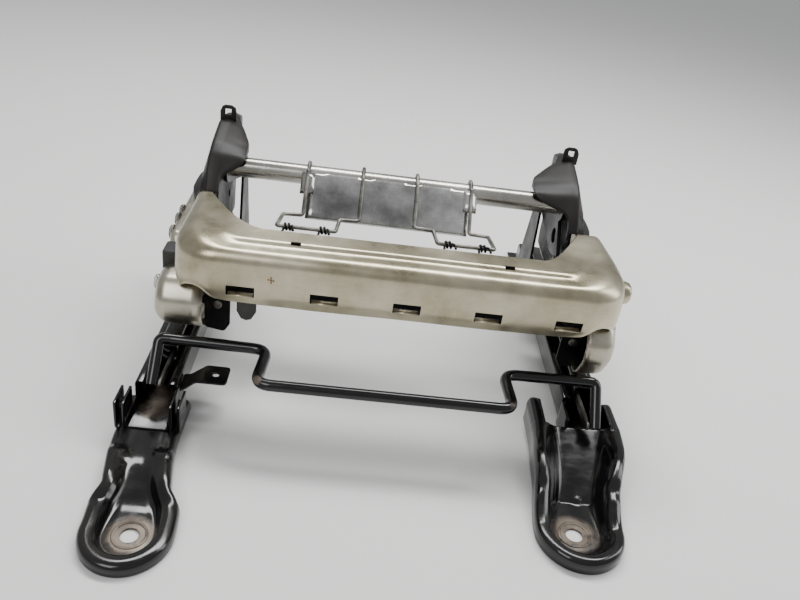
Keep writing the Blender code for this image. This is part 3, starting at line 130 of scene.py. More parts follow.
# Black electrocoat over steel: deep gloss, dusty on top, scratched to grey, with rust-brown wear
# where a bolt head or a sliding part has rubbed, at spots given as (x, y, z, radius) in mm
def blackPaintMaterial(name, wornSpots, dust, wear):
    made, tree, shader, coords = newMaterial(name)
    # scuffs of 9 mm and less, and clouds of dust of 45 mm
    fine = addNode(tree, "TexNoise", {"Scale": 110, "Detail": 8, "Roughness": 0.65}, {"Vector": coords})
    broad = addNode(tree, "TexNoise", {"Scale": 22, "Detail": 4}, {"Vector": coords})
    slanted = addNode(tree, "Mapping", {"Scale": (1.0, 0.12, 6.0), "Rotation": (0.4, 0.2, 0.7)},
                      {"Vector": coords})
    scratch = addNode(tree, "TexNoise", {"Scale": 60, "Detail": 3}, {"Vector": slanted})
    wornBy = addNode(tree, "ValToRGB", {"stops": [(0.70 - 0.12 * wear, 0.0), (0.78 - 0.10 * wear, 1.0)]},
                     {0: fine})
    for x, y, z, radius in wornSpots:
        near = roundMark(tree, coords, (x, y, z), radius * 1.15, radius * 0.8, 0.62)
        flakes = addNode(tree, "ValToRGB", {"stops": [(0.30, 0.2), (0.55, 1.4)]}, {0: fine})
        patchy = addNode(tree, "Math", {"operation": "MULTIPLY", "use_clamp": True}, {0: near, 1: flakes})
        wornBy = addNode(tree, "Math", {"operation": "MAXIMUM"}, {0: wornBy, 1: patchy})
    worn = addNode(tree, "ValToRGB", {"stops": [(0.35, "#3A2E25"), (0.6, "#766C60")]}, {0: broad})
    paint = addNode(tree, "ValToRGB", {"stops": [(0.3, "#050506"), (0.75, "#0D0D0E")]}, {0: broad})
    normal = addNode(tree, "NewGeometry", out="Normal")
    up = addNode(tree, "SeparateXYZ", None, {"Vector": normal}, "Z")
    settled = addNode(tree, "MapRange", {"From Min": 0.2, "From Max": 1.0, "To Min": 0.0, "To Max": dust},
                      {"Value": up})
    patches = addNode(tree, "ValToRGB", {"stops": [(0.4, 0.1), (0.65, 0.8)]}, {0: broad})
    dusty = addNode(tree, "Math", {"operation": "MULTIPLY"}, {0: settled, 1: patches})
    dusted = addNode(tree, "Mix", {"data_type": "RGBA", 7: linear("#47423C")}, {0: dusty, 6: paint}, 2)
    coloured = addNode(tree, "Mix", {"data_type": "RGBA"}, {0: wornBy, 6: dusted, 7: worn}, 2)
    metal = addNode(tree, "Math", {"operation": "MULTIPLY", 1: 0.75}, {0: wornBy})
    rough = addNode(tree, "MapRange", {"From Min": 0.35, "From Max": 0.7, "To Min": 0.10, "To Max": 0.24},
                    {"Value": scratch})
    rubbed = addNode(tree, "Math", {"operation": "MULTIPLY", 1: 0.3}, {0: wornBy})
    rougher = addNode(tree, "Math", {"operation": "ADD", "use_clamp": True}, {0: rough, 1: rubbed})
    bump = addNode(tree, "Bump", {"Strength": 0.07, "Distance": 0.0003}, {"Height": fine})
    setNode(tree, shader, {"IOR": 1.5},
            {"Base Color": coloured, "Metallic": metal, "Roughness": rougher, "Normal": bump})
    return made


# Phosphated and oiled steel: a porous coat, near black to grey, dull under its oil. With pale
# colours and more metal it stands for plain dull steel and hard-drawn wire
def phosphatedMaterial(name, base, light, metallic):
    made, tree, shader, coords = newMaterial(name)
    cloud = addNode(tree, "TexNoise", {"Scale": 40, "Detail": 6, "Roughness": 0.6}, {"Vector": coords})
    grain = addNode(tree, "TexNoise", {"Scale": 900, "Detail": 2}, {"Vector": coords})      # crystals, 1 mm
    coloured = addNode(tree, "ValToRGB", {"stops": [(0.38, base), (0.72, light)]}, {0: cloud})
    rough = addNode(tree, "MapRange", {"From Min": 0.3, "From Max": 0.7, "To Min": 0.32, "To Max": 0.52},
                    {"Value": cloud})
    bump = addNode(tree, "Bump", {"Strength": 0.08, "Distance": 0.0002}, {"Height": grain})
    setNode(tree, shader, {"Metallic": metallic, "Specular IOR Level": 0.22},
            {"Base Color": coloured, "Roughness": rough, "Normal": bump})
    return made


# Powder-coated pressing: warm dark grey, matt, with a fine orange-peel and scuffed edges
def powderCoatMaterial(name):
    made, tree, shader, coords = newMaterial(name)
    cloud = addNode(tree, "TexNoise", {"Scale": 30, "Detail": 5}, {"Vector": coords})
    peel = addNode(tree, "TexNoise", {"Scale": 700, "Detail": 2}, {"Vector": coords})       # bumps of 1.4 mm
    upwards = addNode(tree, "Mapping", {"Scale": (1, 1, 0.3)}, {"Vector": coords})
    scuffs = addNode(tree, "TexNoise", {"Scale": 90, "Detail": 8, "Roughness": 0.7}, {"Vector": upwards})
    base = addNode(tree, "ValToRGB", {"stops": [(0.3, "#171514"), (0.7, "#24211F")]}, {0: cloud})
    scuffed = addNode(tree, "ValToRGB", {"stops": [(0.68, 0.0), (0.78, 0.7)]}, {0: scuffs})
    coloured = addNode(tree, "Mix", {"data_type": "RGBA", 7: linear("#5E5A54")}, {0: scuffed, 6: base}, 2)
    bump = addNode(tree, "Bump", {"Strength": 0.15, "Distance": 0.0002}, {"Height": peel})
    setNode(tree, shader, {"IOR": 1.5, "Roughness": 0.44, "Specular IOR Level": 0.3},
            {"Base Color": coloured, "Normal": bump})
    return made


# Moulded nylon: matt, with faint flow marks of 14 mm
def nylonMaterial(name, base, light):
    made, tree, shader, coords = newMaterial(name)
    flow = addNode(tree, "TexNoise", {"Scale": 70, "Detail": 3}, {"Vector": coords})
    coloured = addNode(tree, "ValToRGB", {"stops": [(0.35, base), (0.7, light)]}, {0: flow})
    rough = addNode(tree, "MapRange", {"To Min": 0.42, "To Max": 0.6}, {"Value": flow})
    setNode(tree, shader, {"IOR": 1.53}, {"Base Color": coloured, "Roughness": rough})
    return made


looks = {
    "pan": pressedSteelMaterial("oiledSheetSteel", "#D0C8B0", "#9C947B", (0.24, 0.38), (2, 60, 60), [
        (-116.4, 179.4, 164, 1.5), (-119.0, 179.4, 164.4, 1.1), (-114.0, 179.4, 163.6, 1.1),
        (-116.5, 179.4, 166.6, 1.1), (-116.3, 179.4, 161.4, 1.1), (238, 214, 130, 5)]),
    "member": pressedSteelMaterial("pressedSideSteel", "#CBC6B6", "#9F998A", (0.24, 0.40), (30, 6, 30)),
    "support": pressedSteelMaterial("satinSpringSheet", "#DBDBD8", "#7E7E7C", (0.12, 0.30), (60, 3, 3)),
    # drawn tube is brighter and smoother than sheet, with fine draw lines along its length
    "tube": pressedSteelMaterial("drawnSteelTube", "#CFCCC4", "#A9A69E", (0.20, 0.30), (1, 30, 30)),
    # zinc plate is pale silver with grey tarnish in patches
    "zinc": pressedSteelMaterial("zincPlate", "#D9D7D2", "#8B8984", (0.22, 0.40), (40, 40, 40)),
    "handle": blackPaintMaterial("enamelledBar", [(-121, 127, 85, 6), (131, 127, 85, 5)], 0.05, 0.0),
    "leftFoot": blackPaintMaterial("electrocoatLeftFoot", [(-206, 0, 4, 21)], 0.22, 0.15),
    "rightFoot": blackPaintMaterial("electrocoatRightFoot", [(194, 45, 4, 22)], 0.12, 0.1),
    "rail": blackPaintMaterial("electrocoatRail", [(-223, 150, 17, 16), (-223, 175, 18, 14)], 0.15, 0.25),
    "link": phosphatedMaterial("phosphatedLink", "#0A0B0C", "#16171A", 0.2),
    "plate": phosphatedMaterial("phosphatedPlate", "#070708", "#101112", 0.15),
    "wire": phosphatedMaterial("hardDrawnWire", "#5A5955", "#A3A098", 0.95),
    "dull": phosphatedMaterial("dullSteel", "#5C5A56", "#8F8C86", 0.95),
    "shield": powderCoatMaterial("powderCoatedShield"),
    "blackNylon": nylonMaterial("blackNylon", "#171717", "#2A2928"),
    "cage": nylonMaterial("naturalNylon", "#B4AD9B", "#CFC9B8"),
}
print("materials made:", len(looks))


def finishMesh(name, mesh, look, smooth=40):
    mesh.name = name
    piece = bpy.data.objects.new(name, mesh)
    bpy.context.scene.collection.objects.link(piece)
    mesh.materials.clear()
    mesh.materials.append(looks[look])
    mesh.shade_smooth()
    mesh.set_sharp_from_angle(angle=math.radians(smooth))
    return piece


def evaluatedMesh(piece):
    bpy.context.view_layer.update()
    return bpy.data.meshes.new_from_object(piece.evaluated_get(bpy.context.evaluated_depsgraph_get()))


def bakeModifiers(piece):
    baked, old = evaluatedMesh(piece), piece.data
    piece.modifiers.clear()
    piece.data = baked
    bpy.data.meshes.remove(old)
    return piece


def attach(piece, bodyName, slotName, *hidden):
    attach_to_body(piece, bodyName)
    if hidden:
        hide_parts(*hidden)
    return piece


def addPiece(name, mesh, look, bodyName, slotName, *hidden):
    return attach(finishMesh(name, mesh, look), bodyName, slotName, *hidden)


def meshOf(shape, name):
    mesh = bpy.data.meshes.new(name)
    shape.to_mesh(mesh)
    shape.free()
    return mesh


# a skin over rows of points; caps names the rows that are filled in
def loftMesh(rows, closed=False, caps=()):
    shape = bmesh.new()
    made = [[shape.verts.new(p) for p in row] for row in rows]
    count = len(rows[0])
    for first, second in zip(made, made[1:]):
        for i in range(count if closed else count - 1):
            j = (i + 1) % count
            shape.faces.new((first[i], first[j], second[j], second[i]))
    for end in caps:
        shape.faces.new(made[end])
    bmesh.ops.recalc_face_normals(shape, faces=shape.faces)
    return meshOf(shape, "loft")


def circlePoints(across, up, radius, count):
    turns = [2 * math.pi * k / count for k in range(count)]
    return [(across + radius * math.cos(turn), up + radius * math.sin(turn)) for turn in turns]


# a path with its corners rounded, in even steps along each bend
def roundPath(points, radius, steps=8, closed=False):
    result = []
    count = len(points)
    for i, point in enumerate(points):
        here = Vector(point)
        if not closed and i in (0, count - 1):
            result.append(here)
            continue
        before = Vector(points[i - 1]) - here
        after = Vector(points[(i + 1) % count]) - here
        opening = before.angle(after)
        reach = min(radius / math.tan(opening / 2), before.length * 0.49, after.length * 0.49)
        if reach < 1e-4 or opening > math.pi - 0.01:
            result.append(here)
            continue
        start = here + before.normalized() * reach
        end = here + after.normalized() * reach
        for k in range(steps + 1):
            t = k / steps
            result.append(start * (1 - t) ** 2 + here * 2 * t * (1 - t) + end * t ** 2)
    return result


def addSpline(curve, points, closed):
    spline = curve.splines.new("POLY")
    spline.points.add(len(points) - 1)
    for spot, point in zip(spline.points, points):
        spot.co = (*point, 1.0)
    spline.use_cyclic_u = closed


def meshFromCurve(curve):
    holder = bpy.data.objects.new(curve.name, curve)
    bpy.context.scene.collection.objects.link(holder)
    mesh = evaluatedMesh(holder)
    bpy.data.objects.remove(holder)
    return mesh


# a round bar or wire through points in mm
def barMesh(points, radius, sides=6):
    curve = bpy.data.curves.new("bar", "CURVE")
    curve.dimensions = "3D"
    curve.bevel_depth = radius * 0.001
    curve.bevel_resolution = sides
    curve.use_fill_caps = True
    addSpline(curve, [place(*p) for p in points], False)
    return meshFromCurve(curve)


# a flat plate with eased edges, facing X, Y or Z; outline and holes (across, up, radius) in mm
def plateMesh(outline, holes, middle, thickness, ease=0.5, facing="X"):
    curve = bpy.data.curves.new("plate", "CURVE")
    curve.dimensions = "2D"
    curve.fill_mode = "BOTH"
    curve.extrude = (thickness / 2 - ease) * 0.001
    curve.bevel_depth = ease * 0.001
    curve.bevel_resolution = 2
    curve.offset = -ease * 0.001
    for loop in [outline] + [circlePoints(*hole, 40) for hole in holes]:
        addSpline(curve, [(across * 0.001, up * 0.001, 0.0) for across, up in loop], True)
    mesh = meshFromCurve(curve)
    stands = {"X": ((0, 0, 1, 0), (1, 0, 0, 0), (0, 1, 0, 0), (0, 0, 0, 1)),
              "Y": ((1, 0, 0, 0), (0, 0, 1, 0), (0, 1, 0, 0), (0, 0, 0, 1)),
              "Z": ((1, 0, 0, 0), (0, 1, 0, 0), (0, 0, 1, 0), (0, 0, 0, 1))}
    spot = [middle if axis == facing else 0 for axis in "XYZ"]
    mesh.transform(Matrix.Translation(place(*spot)) @ Matrix(stands[facing]))
    if facing == "Y":
        mesh.flip_normals()
    return mesh


# the outline drawn by a string stretched round circles of (across, up, radius)
def strungOutline(circles):
    points = [Vector(p) for across, up, radius in circles
              for p in circlePoints(across, up, radius, 48 if radius > 1 else 6)]
    return [tuple(points[i]) for i in convex_hull_2d(points)]


# a closed path cut into steps of about one length, without points that crowd
def evenPath(points, step):
    result = []
    for first, second in zip(points, points[1:] + points[:1]):
        pieces = max(1, round((second - first).length / step))
        result += [first.lerp(second, k / pieces) for k in range(pieces)]
    kept = [result[0]]
    for p in result[1:]:
        if (p - kept[-1]).length > step * 0.6:
            kept.append(p)
    return kept


# a turned piece about an X axis; the profile is (x, radius) in mm, from end to end
def turnedMesh(profile, y, z, segments=48, closed=False):
    rows = [[place(x, *p) for p in circlePoints(y, z, radius, segments)]
            for x, radius in (profile + profile[:1] if closed else profile)]
    return loftMesh(rows, closed=True, caps=() if closed else (0, -1))


# a box between two opposite corners
def boxMesh(corner, opposite):
    low, high = (Vector(tuple(map(pick, corner, opposite))) for pick in (min, max))
    shape = bmesh.new()
    bmesh.ops.create_cube(shape, size=1.0)
    bmesh.ops.scale(shape, vec=(high - low) * 0.001, verts=shape.verts)
    bmesh.ops.translate(shape, vec=place(*((low + high) / 2)), verts=shape.verts)
    return meshOf(shape, "box")


def joinMeshes(meshes):
    shape = bmesh.new()
    for mesh in meshes:
        shape.from_mesh(mesh)
        bpy.data.meshes.remove(mesh)
    return meshOf(shape, "joined")


def sheetPiece(name, mesh, look, thickness, smooth=40):
    piece = finishMesh(name, mesh, look, smooth)
    sheet = piece.modifiers.new("sheet", "SOLIDIFY")
    sheet.thickness = thickness * 0.001
    sheet.offset = 0.0
    sheet.use_even_offset = True
    return piece


def cutPiece(piece, cutters):
    tool = bpy.data.objects.new("cut", joinMeshes(cutters))
    bpy.context.scene.collection.objects.link(tool)
    step = piece.modifiers.new("cut", "BOOLEAN")
    step.operation = "DIFFERENCE"
    step.solver = "EXACT"
    step.object = tool
    bakeModifiers(piece)
    bpy.data.objects.remove(tool)
    return piece


def easeEdges(piece, width=0.4, segments=2, angle=35):
    ease = piece.modifiers.new("ease", "BEVEL")
    ease.width = width * 0.001
    ease.segments = segments
    ease.limit_method = "ANGLE"
    ease.angle_limit = math.radians(angle)
    ease.harden_normals = False
    return bakeModifiers(piece)


def smoothStep(t):
    t = min(max(t, 0.0), 1.0)
    return t * t * (3 - 2 * t)


# smooth values through measured stops
def curveThrough(stops, values, spots):
    stops = np.array(stops, float)
    values = np.array(values, float)
    slopes = np.gradient(values, stops)
    result = []
    for s in spots:
        k = int(np.clip(np.searchsorted(stops, s) - 1, 0, len(stops) - 2))
        h = stops[k + 1] - stops[k]
        t = (s - stops[k]) / h
        result.append((2 * t**3 - 3 * t**2 + 1) * values[k] + (t**3 - 2 * t**2 + t) * h * slopes[k]
                      + (-2 * t**3 + 3 * t**2) * values[k + 1] + (t**3 - t**2) * h * slopes[k + 1])
    return result


pan = {
    "middleX": 11.5, "halfWidth": 227, "frontY": 181, "rearY": 304, "ledgeY": 232, "topZ": 191,
    "corner": 44, "sheet": 1.2, "returnDeep": 6,
    "left": {"bend": (168, 231), "horn": 18, "taper": 1}, "right": {"bend": (158, 234), "horn": 31, "taper": 6},
    "slotXs": [16.5 + 81.2 * k for k in (-2, -1, 0, 1, 2)], "slotZ": 147.5, "slotSize": (27.5, 11.5),
    "holeXs": (-97.5, 114.5), "holeY": 208.5, "holeSize": (10, 5), "plugSize": (15, 23, 4.5), "plugZ": 187,
    "stepDeep": 3.5, "rowsPerHalf": 90,
}


# one half of the pan, from the middle round the corner to its horn: for each row the outer and
# inner ends seen from above, the height of the lower edge, the crest's roll, step and return
def panHalf(sideName):
    shape = pan[sideName]
    count = pan["rowsPerHalf"]
    straight = pan["halfWidth"] - pan["corner"]
    middleY = pan["frontY"] + pan["corner"]
    # along the outer path: 0 the middle, 1 and 2 the ends of the corner, 3 the rear end
    stops = [0, 0.6, 1.0, 1.25, 1.5, 1.75, 2.0, 2.35, 2.7, 3.0]
    lower = [134.5, 134.5, 137.5, 147.0, 143.0, 131.0, 127.5, 129.0, 133.0, 138.0]
    rollX = [13, 13, 15, 19, 24, 25, 22, 18, 16, 13]
    rollZ = [13, 13, 14, 16, 18, 19, 17, 16, 16, 15]
    step = [1, 1, 0.9, 0.5, 0.1, 0, 0, 0, 0, 0]
    spots = [3 * (k / (count - 1)) for k in range(count)]
    lowers = curveThrough(stops, lower, spots)
    rollXs = curveThrough(stops, rollX, spots)
    rollZs = curveThrough(stops, rollZ, spots)
    stepsDown = curveThrough(stops, step, spots)
    innerTurn = Vector((straight - 8, pan["ledgeY"]))
    innerEnd = Vector((pan["halfWidth"] - shape["taper"] - shape["horn"], pan["rearY"]))
    rows = []
    for s, lowZ, rx, rz, down in zip(spots, lowers, rollXs, rollZs, stepsDown):
        if s <= 1:
            outer = Vector((straight * s, pan["frontY"]))
            inner = Vector((innerTurn.x * s * 0.8, pan["ledgeY"]))
        elif s <= 2:
            angle = math.pi / 2 * (s - 1)
            outer = Vector((straight + pan["corner"] * math.sin(angle),
                            middleY - pan["corner"] * math.cos(angle)))
        else:
            outer = Vector((pan["halfWidth"] - shape["taper"] * (s - 2) ** 2,
                            middleY + (pan["rearY"] - middleY) * (s - 2)))
        if s > 1:
            t = (s - 1) / 2
            start = Vector((innerTurn.x * 0.8, pan["ledgeY"]))
            bend = Vector(shape["bend"])
            inner = start * (1 - t) ** 2 + bend * 2 * t * (1 - t) + innerEnd * t ** 2
        flange = pan["returnDeep"] * (1 - smoothStep((s - 0.85) / 0.25))
        rows.append((outer, inner, lowZ, rx, rz, down, flange))
    return rows


def panRow(outer, inner, lowZ, rx, rz, down, flange, side):
    inward = inner - outer
    width = inward.length
    inward.normalize()
    rx = min(rx, width - 9)                                            # the horns are narrow: leave a ledge
    topZ = pan["topZ"]
    crest = topZ - pan["stepDeep"] * down
    line = [(width + 0.6, topZ - 6), (width + 0.3, topZ - 2), (width - 1.2, topZ)]
    ledge = width - rx
    for t in (0.2, 0.4, 0.56):
        line.append((width - t * ledge, topZ))
    for t in (0.60, 0.64, 0.68, 0.72):
        line.append((width - t * ledge, topZ - pan["stepDeep"] * down * smoothStep((t - 0.58) / 0.16)))
    line.append((width - 0.86 * ledge, crest))
    for degrees in range(0, 91, 9):
        angle = math.radians(degrees)
        line.append((rx * (1 - math.sin(angle)), crest - rz * (1 - math.cos(angle))))
    bottom = crest - rz
    for t in (0.15, 0.3, 0.45, 0.6, 0.72, 0.84, 0.93, 1.0):
        bulge = 1.2 * math.sin(math.pi * t) - 1.6 * smoothStep((t - 0.8) / 0.2)
        line.append((-bulge, bottom + (lowZ - bottom) * t))
    # the lower edge turns back under the cushion along the front
    line += [(1.6 + 0.04 * flange, lowZ - 1.0), (2.4 + 0.5 * flange, lowZ - 0.8), (2.6 + flange, lowZ - 0.4)]
    return [place(pan["middleX"] + side * (outer.x + inward.x * d), outer.y + inward.y * d, z)
            for d, z in line]


rightRows = [panRow(*row, 1) for row in panHalf("right")]
leftRows = [panRow(*row, -1) for row in panHalf("left")[1:]]
panMesh = loftMesh(leftRows[::-1] + rightRows)
# shallow stampings and dents at the corners and along the front: spot, radius and depth
dents = [((-186, 196, 158), 13, -1.5), ((-200, 206, 165), 8, 1.0), ((213, 197, 160), 14, -1.4),
         ((228, 214, 168), 9, 1.2), ((60, 181, 160), 30, 0.5), ((-120, 181, 165), 26, 0.4)]
for vertex in panMesh.vertices:
    for spot, radius, depth in dents:
        away = (vertex.co - place(*spot)).length * 1000 / radius
        if away < 1:
            out = Vector((vertex.co.x, vertex.co.y - place(0, 260, 0).y, 0)).normalized()
            vertex.co += out * depth * 0.001 * smoothStep(1 - away)
panPiece = sheetPiece("panPressing", panMesh, "pan", pan["sheet"])
slotWide, slotHigh = pan["slotSize"]
slotLow = pan["slotZ"] - slotHigh / 2
cutters = [boxMesh((x - slotWide / 2, 170, slotLow), (x + slotWide / 2, 195, pan["slotZ"] + slotHigh / 2))
           for x in pan["slotXs"]]
holeWide, holeDeep = pan["holeSize"]
cutters += [boxMesh((x - holeWide / 2, pan["holeY"] - holeDeep / 2, pan["topZ"] - 11),
                    (x + holeWide / 2, pan["holeY"] + holeDeep / 2, pan["topZ"] + 9)) for x in pan["holeXs"]]
attach(cutPiece(panPiece, cutters), "cushion_frame", "bare_steel", "front_pan")
# each slot's lower edge is turned inwards
lip = [(180.2, slotLow - 0.4), (180.8, slotLow + 0.6), (182.6, slotLow + 1.4), (185.6, slotLow + 1.6)]
lips = [loftMesh([[place(x + end * (slotWide - 3) / 2, y, z) for y, z in lip] for end in (-1, 1)])
        for x in pan["slotXs"]]
attach(bakeModifiers(sheetPiece("panSlotLips", joinMeshes(lips), "pan", 1.0)), "cushion_frame", "bare_steel")
# dark sheet behind the front wall, seen through the slots: partly the dark member behind the pan, partly
# painted shade, made deep enough that the slots show only dark
stiffenerAndSlotShade = roundPath([(0, 184.6, 146), (0, 184.6, 137), (0, 222, 137), (0, 222, 152)], 3, 4)
rows = [[place(pan["middleX"] + x, p.y, p.z) for p in stiffenerAndSlotShade] for x in range(-176, 177, 16)]
stiffenerAndShadePiece = sheetPiece("panStiffenerAndSlotShade", loftMesh(rows), "plate", 1.2)
cutPiece(stiffenerAndShadePiece, [boxMesh((x - 15, 180, 141), (x + 15, 190, 160)) for x in pan["slotXs"]])
attach(easeEdges(stiffenerAndShadePiece, 0.3), "cushion_frame", "blue_black")
plugWide, plugDeep, plugHigh = pan["plugSize"]
for number, x in enumerate(pan["holeXs"], 1):
    plugBox = boxMesh((x - plugWide / 2, pan["holeY"] - 5.5, pan["plugZ"] - plugHigh),
                      (x + plugWide / 2, pan["holeY"] - 5.5 + plugDeep, pan["plugZ"]))
    plug = finishMesh(f"panPlug{number}", plugBox, "blackNylon")
    attach(easeEdges(plug, 1.2, 3, 60), "cushion_frame", "dark_plastic")
print("front pan done")


tube = {"y": 343, "z": 207.5, "radius": 11, "end": 204, "wall": 1.8}
tubeProfile = [(-tube["end"] + 0.6, tube["radius"]), (tube["end"] - 0.6, tube["radius"]),
               (tube["end"], tube["radius"] - 0.6), (tube["end"], tube["radius"] - tube["wall"]),
               (-tube["end"], tube["radius"] - tube["wall"]), (-tube["end"], tube["radius"] - 0.6)]
addPiece("drawnTube", turnedMesh(tubeProfile, tube["y"], tube["z"], 64, closed=True), "tube",
         "rear_links", "bare_steel", "rear_torque_tube")

support = {"low": (294.0, 180.0), "high": (330.5, 215.5), "half": 88, "middleX": -9, "sheet": 1.4}


# a point on the support plate: across, share of the way up, and out from its face
def supportPoint(x, share, out=0.0):
    lowY, lowZ = support["low"]
    highY, highZ = support["high"]
    along = Vector((highY - lowY, highZ - lowZ))
    normal = Vector((-along.y, along.x)).normalized()
    return place(support["middleX"] + x, lowY + along.x * share + normal.x * out,
                 lowZ + along.y * share + normal.y * out)


rows = []
for k in range(25):
    x = -support["half"] + 2 * support["half"] * k / 24
    sag = 0.35 * math.sin(k * 0.9)
    row = [supportPoint(x, 0.02, -6.0), supportPoint(x, 0.0, -4.5), supportPoint(x, -0.005, -1.2),
           supportPoint(x, 0.02, 0)]
    row += [supportPoint(x, s, sag * math.sin(s * 3)) for s in (0.2, 0.4, 0.6, 0.8, 0.95)]
    row += [supportPoint(x, 1.0, -0.6), supportPoint(x, 1.01, -2.5)]
    rows.append(row)
supportPiece = sheetPiece("suspensionPlate", loftMesh(rows), "support", support["sheet"], smooth=60)
attach(bakeModifiers(supportPiece), "cushion_frame", "bare_steel", "support_plate")
tabs = []
for side in (-1, 1):
    inner = side * (support["half"] - 6)
    outer = side * (support["half"] + 8.5)
    tabs.append(loftMesh([[supportPoint(inner, s, 0.9), supportPoint((inner + outer) / 2, s, 1.0),
                           supportPoint(outer, s, 0.4)] for s in (0.50, 0.70, 0.88, 1.0)]))
tabPiece = sheetPiece("suspensionTabs", joinMeshes(tabs), "support", 1.0)
attach(bakeModifiers(tabPiece), "cushion_frame", "bare_steel")

# formed spring wires: each hooks over the tube, runs down the plate and turns at the pan
wires = {"radius": 2.1, "pitch": 60, "frontY": 246.5, "frontZ": 189.5, "step": 22.5, "firstXs": (-99, 21)}
for (sideName, sign), firstX in zip(sides, wires["firstXs"]):
    reach = tube["radius"] + wires["radius"] + 0.5
    leg = [(tube["y"] + reach * math.cos(math.radians(a)), tube["z"] + reach * math.sin(math.radians(a)))
           for a in range(-58, 101, 9)]
    lowY, lowZ = support["low"]
    highY, highZ = support["high"]
    along = Vector((highY - lowY, highZ - lowZ)).normalized()
    off = Vector((-along.y, along.x)) * (support["sheet"] / 2 + wires["radius"] + 0.4)
    leg += [(highY + off.x, highZ + off.y), (lowY + off.x, lowZ + off.y)]
    step = wires["step"] * sign
    secondX = firstX + wires["pitch"]
    path = [(firstX, y, z) for y, z in leg]
    ahead = (lowY + off.x - 6, lowZ + off.y + 2)
    path += [(firstX + step * 0.9, *ahead), (firstX + step, wires["frontY"], wires["frontZ"]),
             (secondX + step, wires["frontY"], wires["frontZ"]), (secondX + step * 0.9, *ahead)]
    path += [(secondX, y, z) for y, z in reversed(leg)]
    bent = roundPath(path, 4.0, 5)
    addPiece(sideName + "SpringWire", barMesh(bent, wires["radius"], 5), "wire",
             "cushion_frame", "dull_steel", sideName + "_suspension_wire")
# twisted hooks that hold each wire's front to the rear edge of the pan
hook = {"coil": 3.1, "length": 7.5, "turn": 0.6, "points": 22, "wire": 1.3}
for name in [f"{sideName}_wire_clip_{number}" for sideName, sign in sides for number in (1, 2)]:
    low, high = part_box(name)
    middle = (low[0] + high[0]) * 500 - datum.x * 1000
    coil = [(middle - 4 + hook["length"] * k / (hook["points"] - 1),
             wires["frontY"] + hook["coil"] * math.cos(k * hook["turn"]),
             wires["frontZ"] + hook["coil"] * math.sin(k * hook["turn"])) for k in range(hook["points"])]
    coil = [(middle - 5, 231.5, 188.2), (middle - 5, 238, 188.0), (middle - 4.6, 243.5, 187.6)] + coil
    coil += [(middle + 4.2, 243, 192.4), (middle + 5.5, 238, 192.6), (middle + 6.0, 233.5, 192.3)]
    addPiece(name + "Hook", barMesh(roundPath(coil, 1.5, 3), hook["wire"], 4), "link",
             "cushion_frame", "dark_plastic", name)
print("tube, plate and wires done")


# the towel bar in front, bent up from the two levers
handle = {"radius": 5.8, "z": 79, "gripY": 127, "backY": 184, "gripXs": (-121, 131), "endX": 226.2,
          "endY": 152, "endZ": 45.5, "bend": 14}
points = []
for (sideName, sign), grip in zip(sides, handle["gripXs"]):
    half = [(sign * handle["endX"], handle["endY"], handle["endZ"]),
            (sign * handle["endX"], handle["endY"] + handle["z"] - handle["endZ"], handle["z"]),
            (sign * (handle["endX"] - 12), handle["backY"] + 2, handle["z"]),
            (grip - sign * 4, handle["backY"], handle["z"]), (grip, handle["gripY"], handle["z"])]
    points += half if sign < 0 else half[::-1]
addPiece("liftBar", barMesh(roundPath(points, handle["bend"], 10), handle["radius"], 8), "handle",
         "handle", "black_paint", "release_handle")
print("handle done")


# two folded channels per side: the lower one on the floor, the upper one running inside it
rail = {"middle": 223, "floorZ": 15, "lowerLength": 400, "upperLength": 330, "upperFront": 205,
        "lowerFront": {"left": 120, "right": 165}, "notches": 12, "notchPitch": 12, "notchStart": 118,
        "noseCut": 36, "lowerSheet": 2.0, "upperSheet": 1.8, "lowerFold": 2.8, "upperFold": 2.2}


# a folded strip: its section in X and Z from the rail's middle and floor, drawn along Y
def foldedStrip(name, look, section, middle, startY, length, thickness, fold):
    bent = roundPath([(x, 0, z) for x, z in section], fold, 5)
    rows = [[place(middle + p[0], startY + length * k / 12, rail["floorZ"] + p[2]) for p in bent]
            for k in range(13)]
    return sheetPiece(name, loftMesh(rows), look, thickness)


def notchBoxes(middle, startY):
    first = startY + rail["notchStart"]
    return [boxMesh((middle - 6, y - 3, 10), (middle + 6, y + 3, 20))
            for y in [first + k * rail["notchPitch"] for k in range(rail["notches"])]]


for sideName, sign in sides:
    middle = sign * rail["middle"]
    startY = rail["lowerFront"][sideName]
    lowerSection = [(-12, 20.5), (-12, 29), (-20, 29), (-20, 1), (20, 1), (20, 29), (12, 29), (12, 20.5)]
    lower = foldedStrip(sideName + "LowerChannel", "rail", lowerSection, middle, startY, rail["lowerLength"],
                        rail["lowerSheet"], rail["lowerFold"])
    # the side walls are cut down at the front end
    nose = boxMesh((middle - 30, startY - 30, rail["floorZ"] + 12.5),
                   (middle + 30, startY + rail["noseCut"], 60))
    cutPiece(lower, notchBoxes(middle, startY) + [nose])
    attach(easeEdges(lower, 0.35), sideName + "_slide", "black_paint", sideName + "_lower_rail")
    upperSection = [(-15.5, 21.5), (-15.5, 5.4), (-8.6, 5.4), (-8.6, 41.1),
                    (8.6, 41.1), (8.6, 5.4), (15.5, 5.4), (15.5, 21.5)]
    upper = foldedStrip(sideName + "UpperBox", "rail", upperSection, middle, rail["upperFront"],
                        rail["upperLength"], rail["upperSheet"], rail["upperFold"])
    window = boxMesh((middle - 3, rail["upperFront"] + 165, 45), (middle + 3, rail["upperFront"] + 215, 70))
    attach(easeEdges(cutPiece(upper, [window]), 0.3), "carriage", "black_paint", sideName + "_upper_rail")
print("rails done")


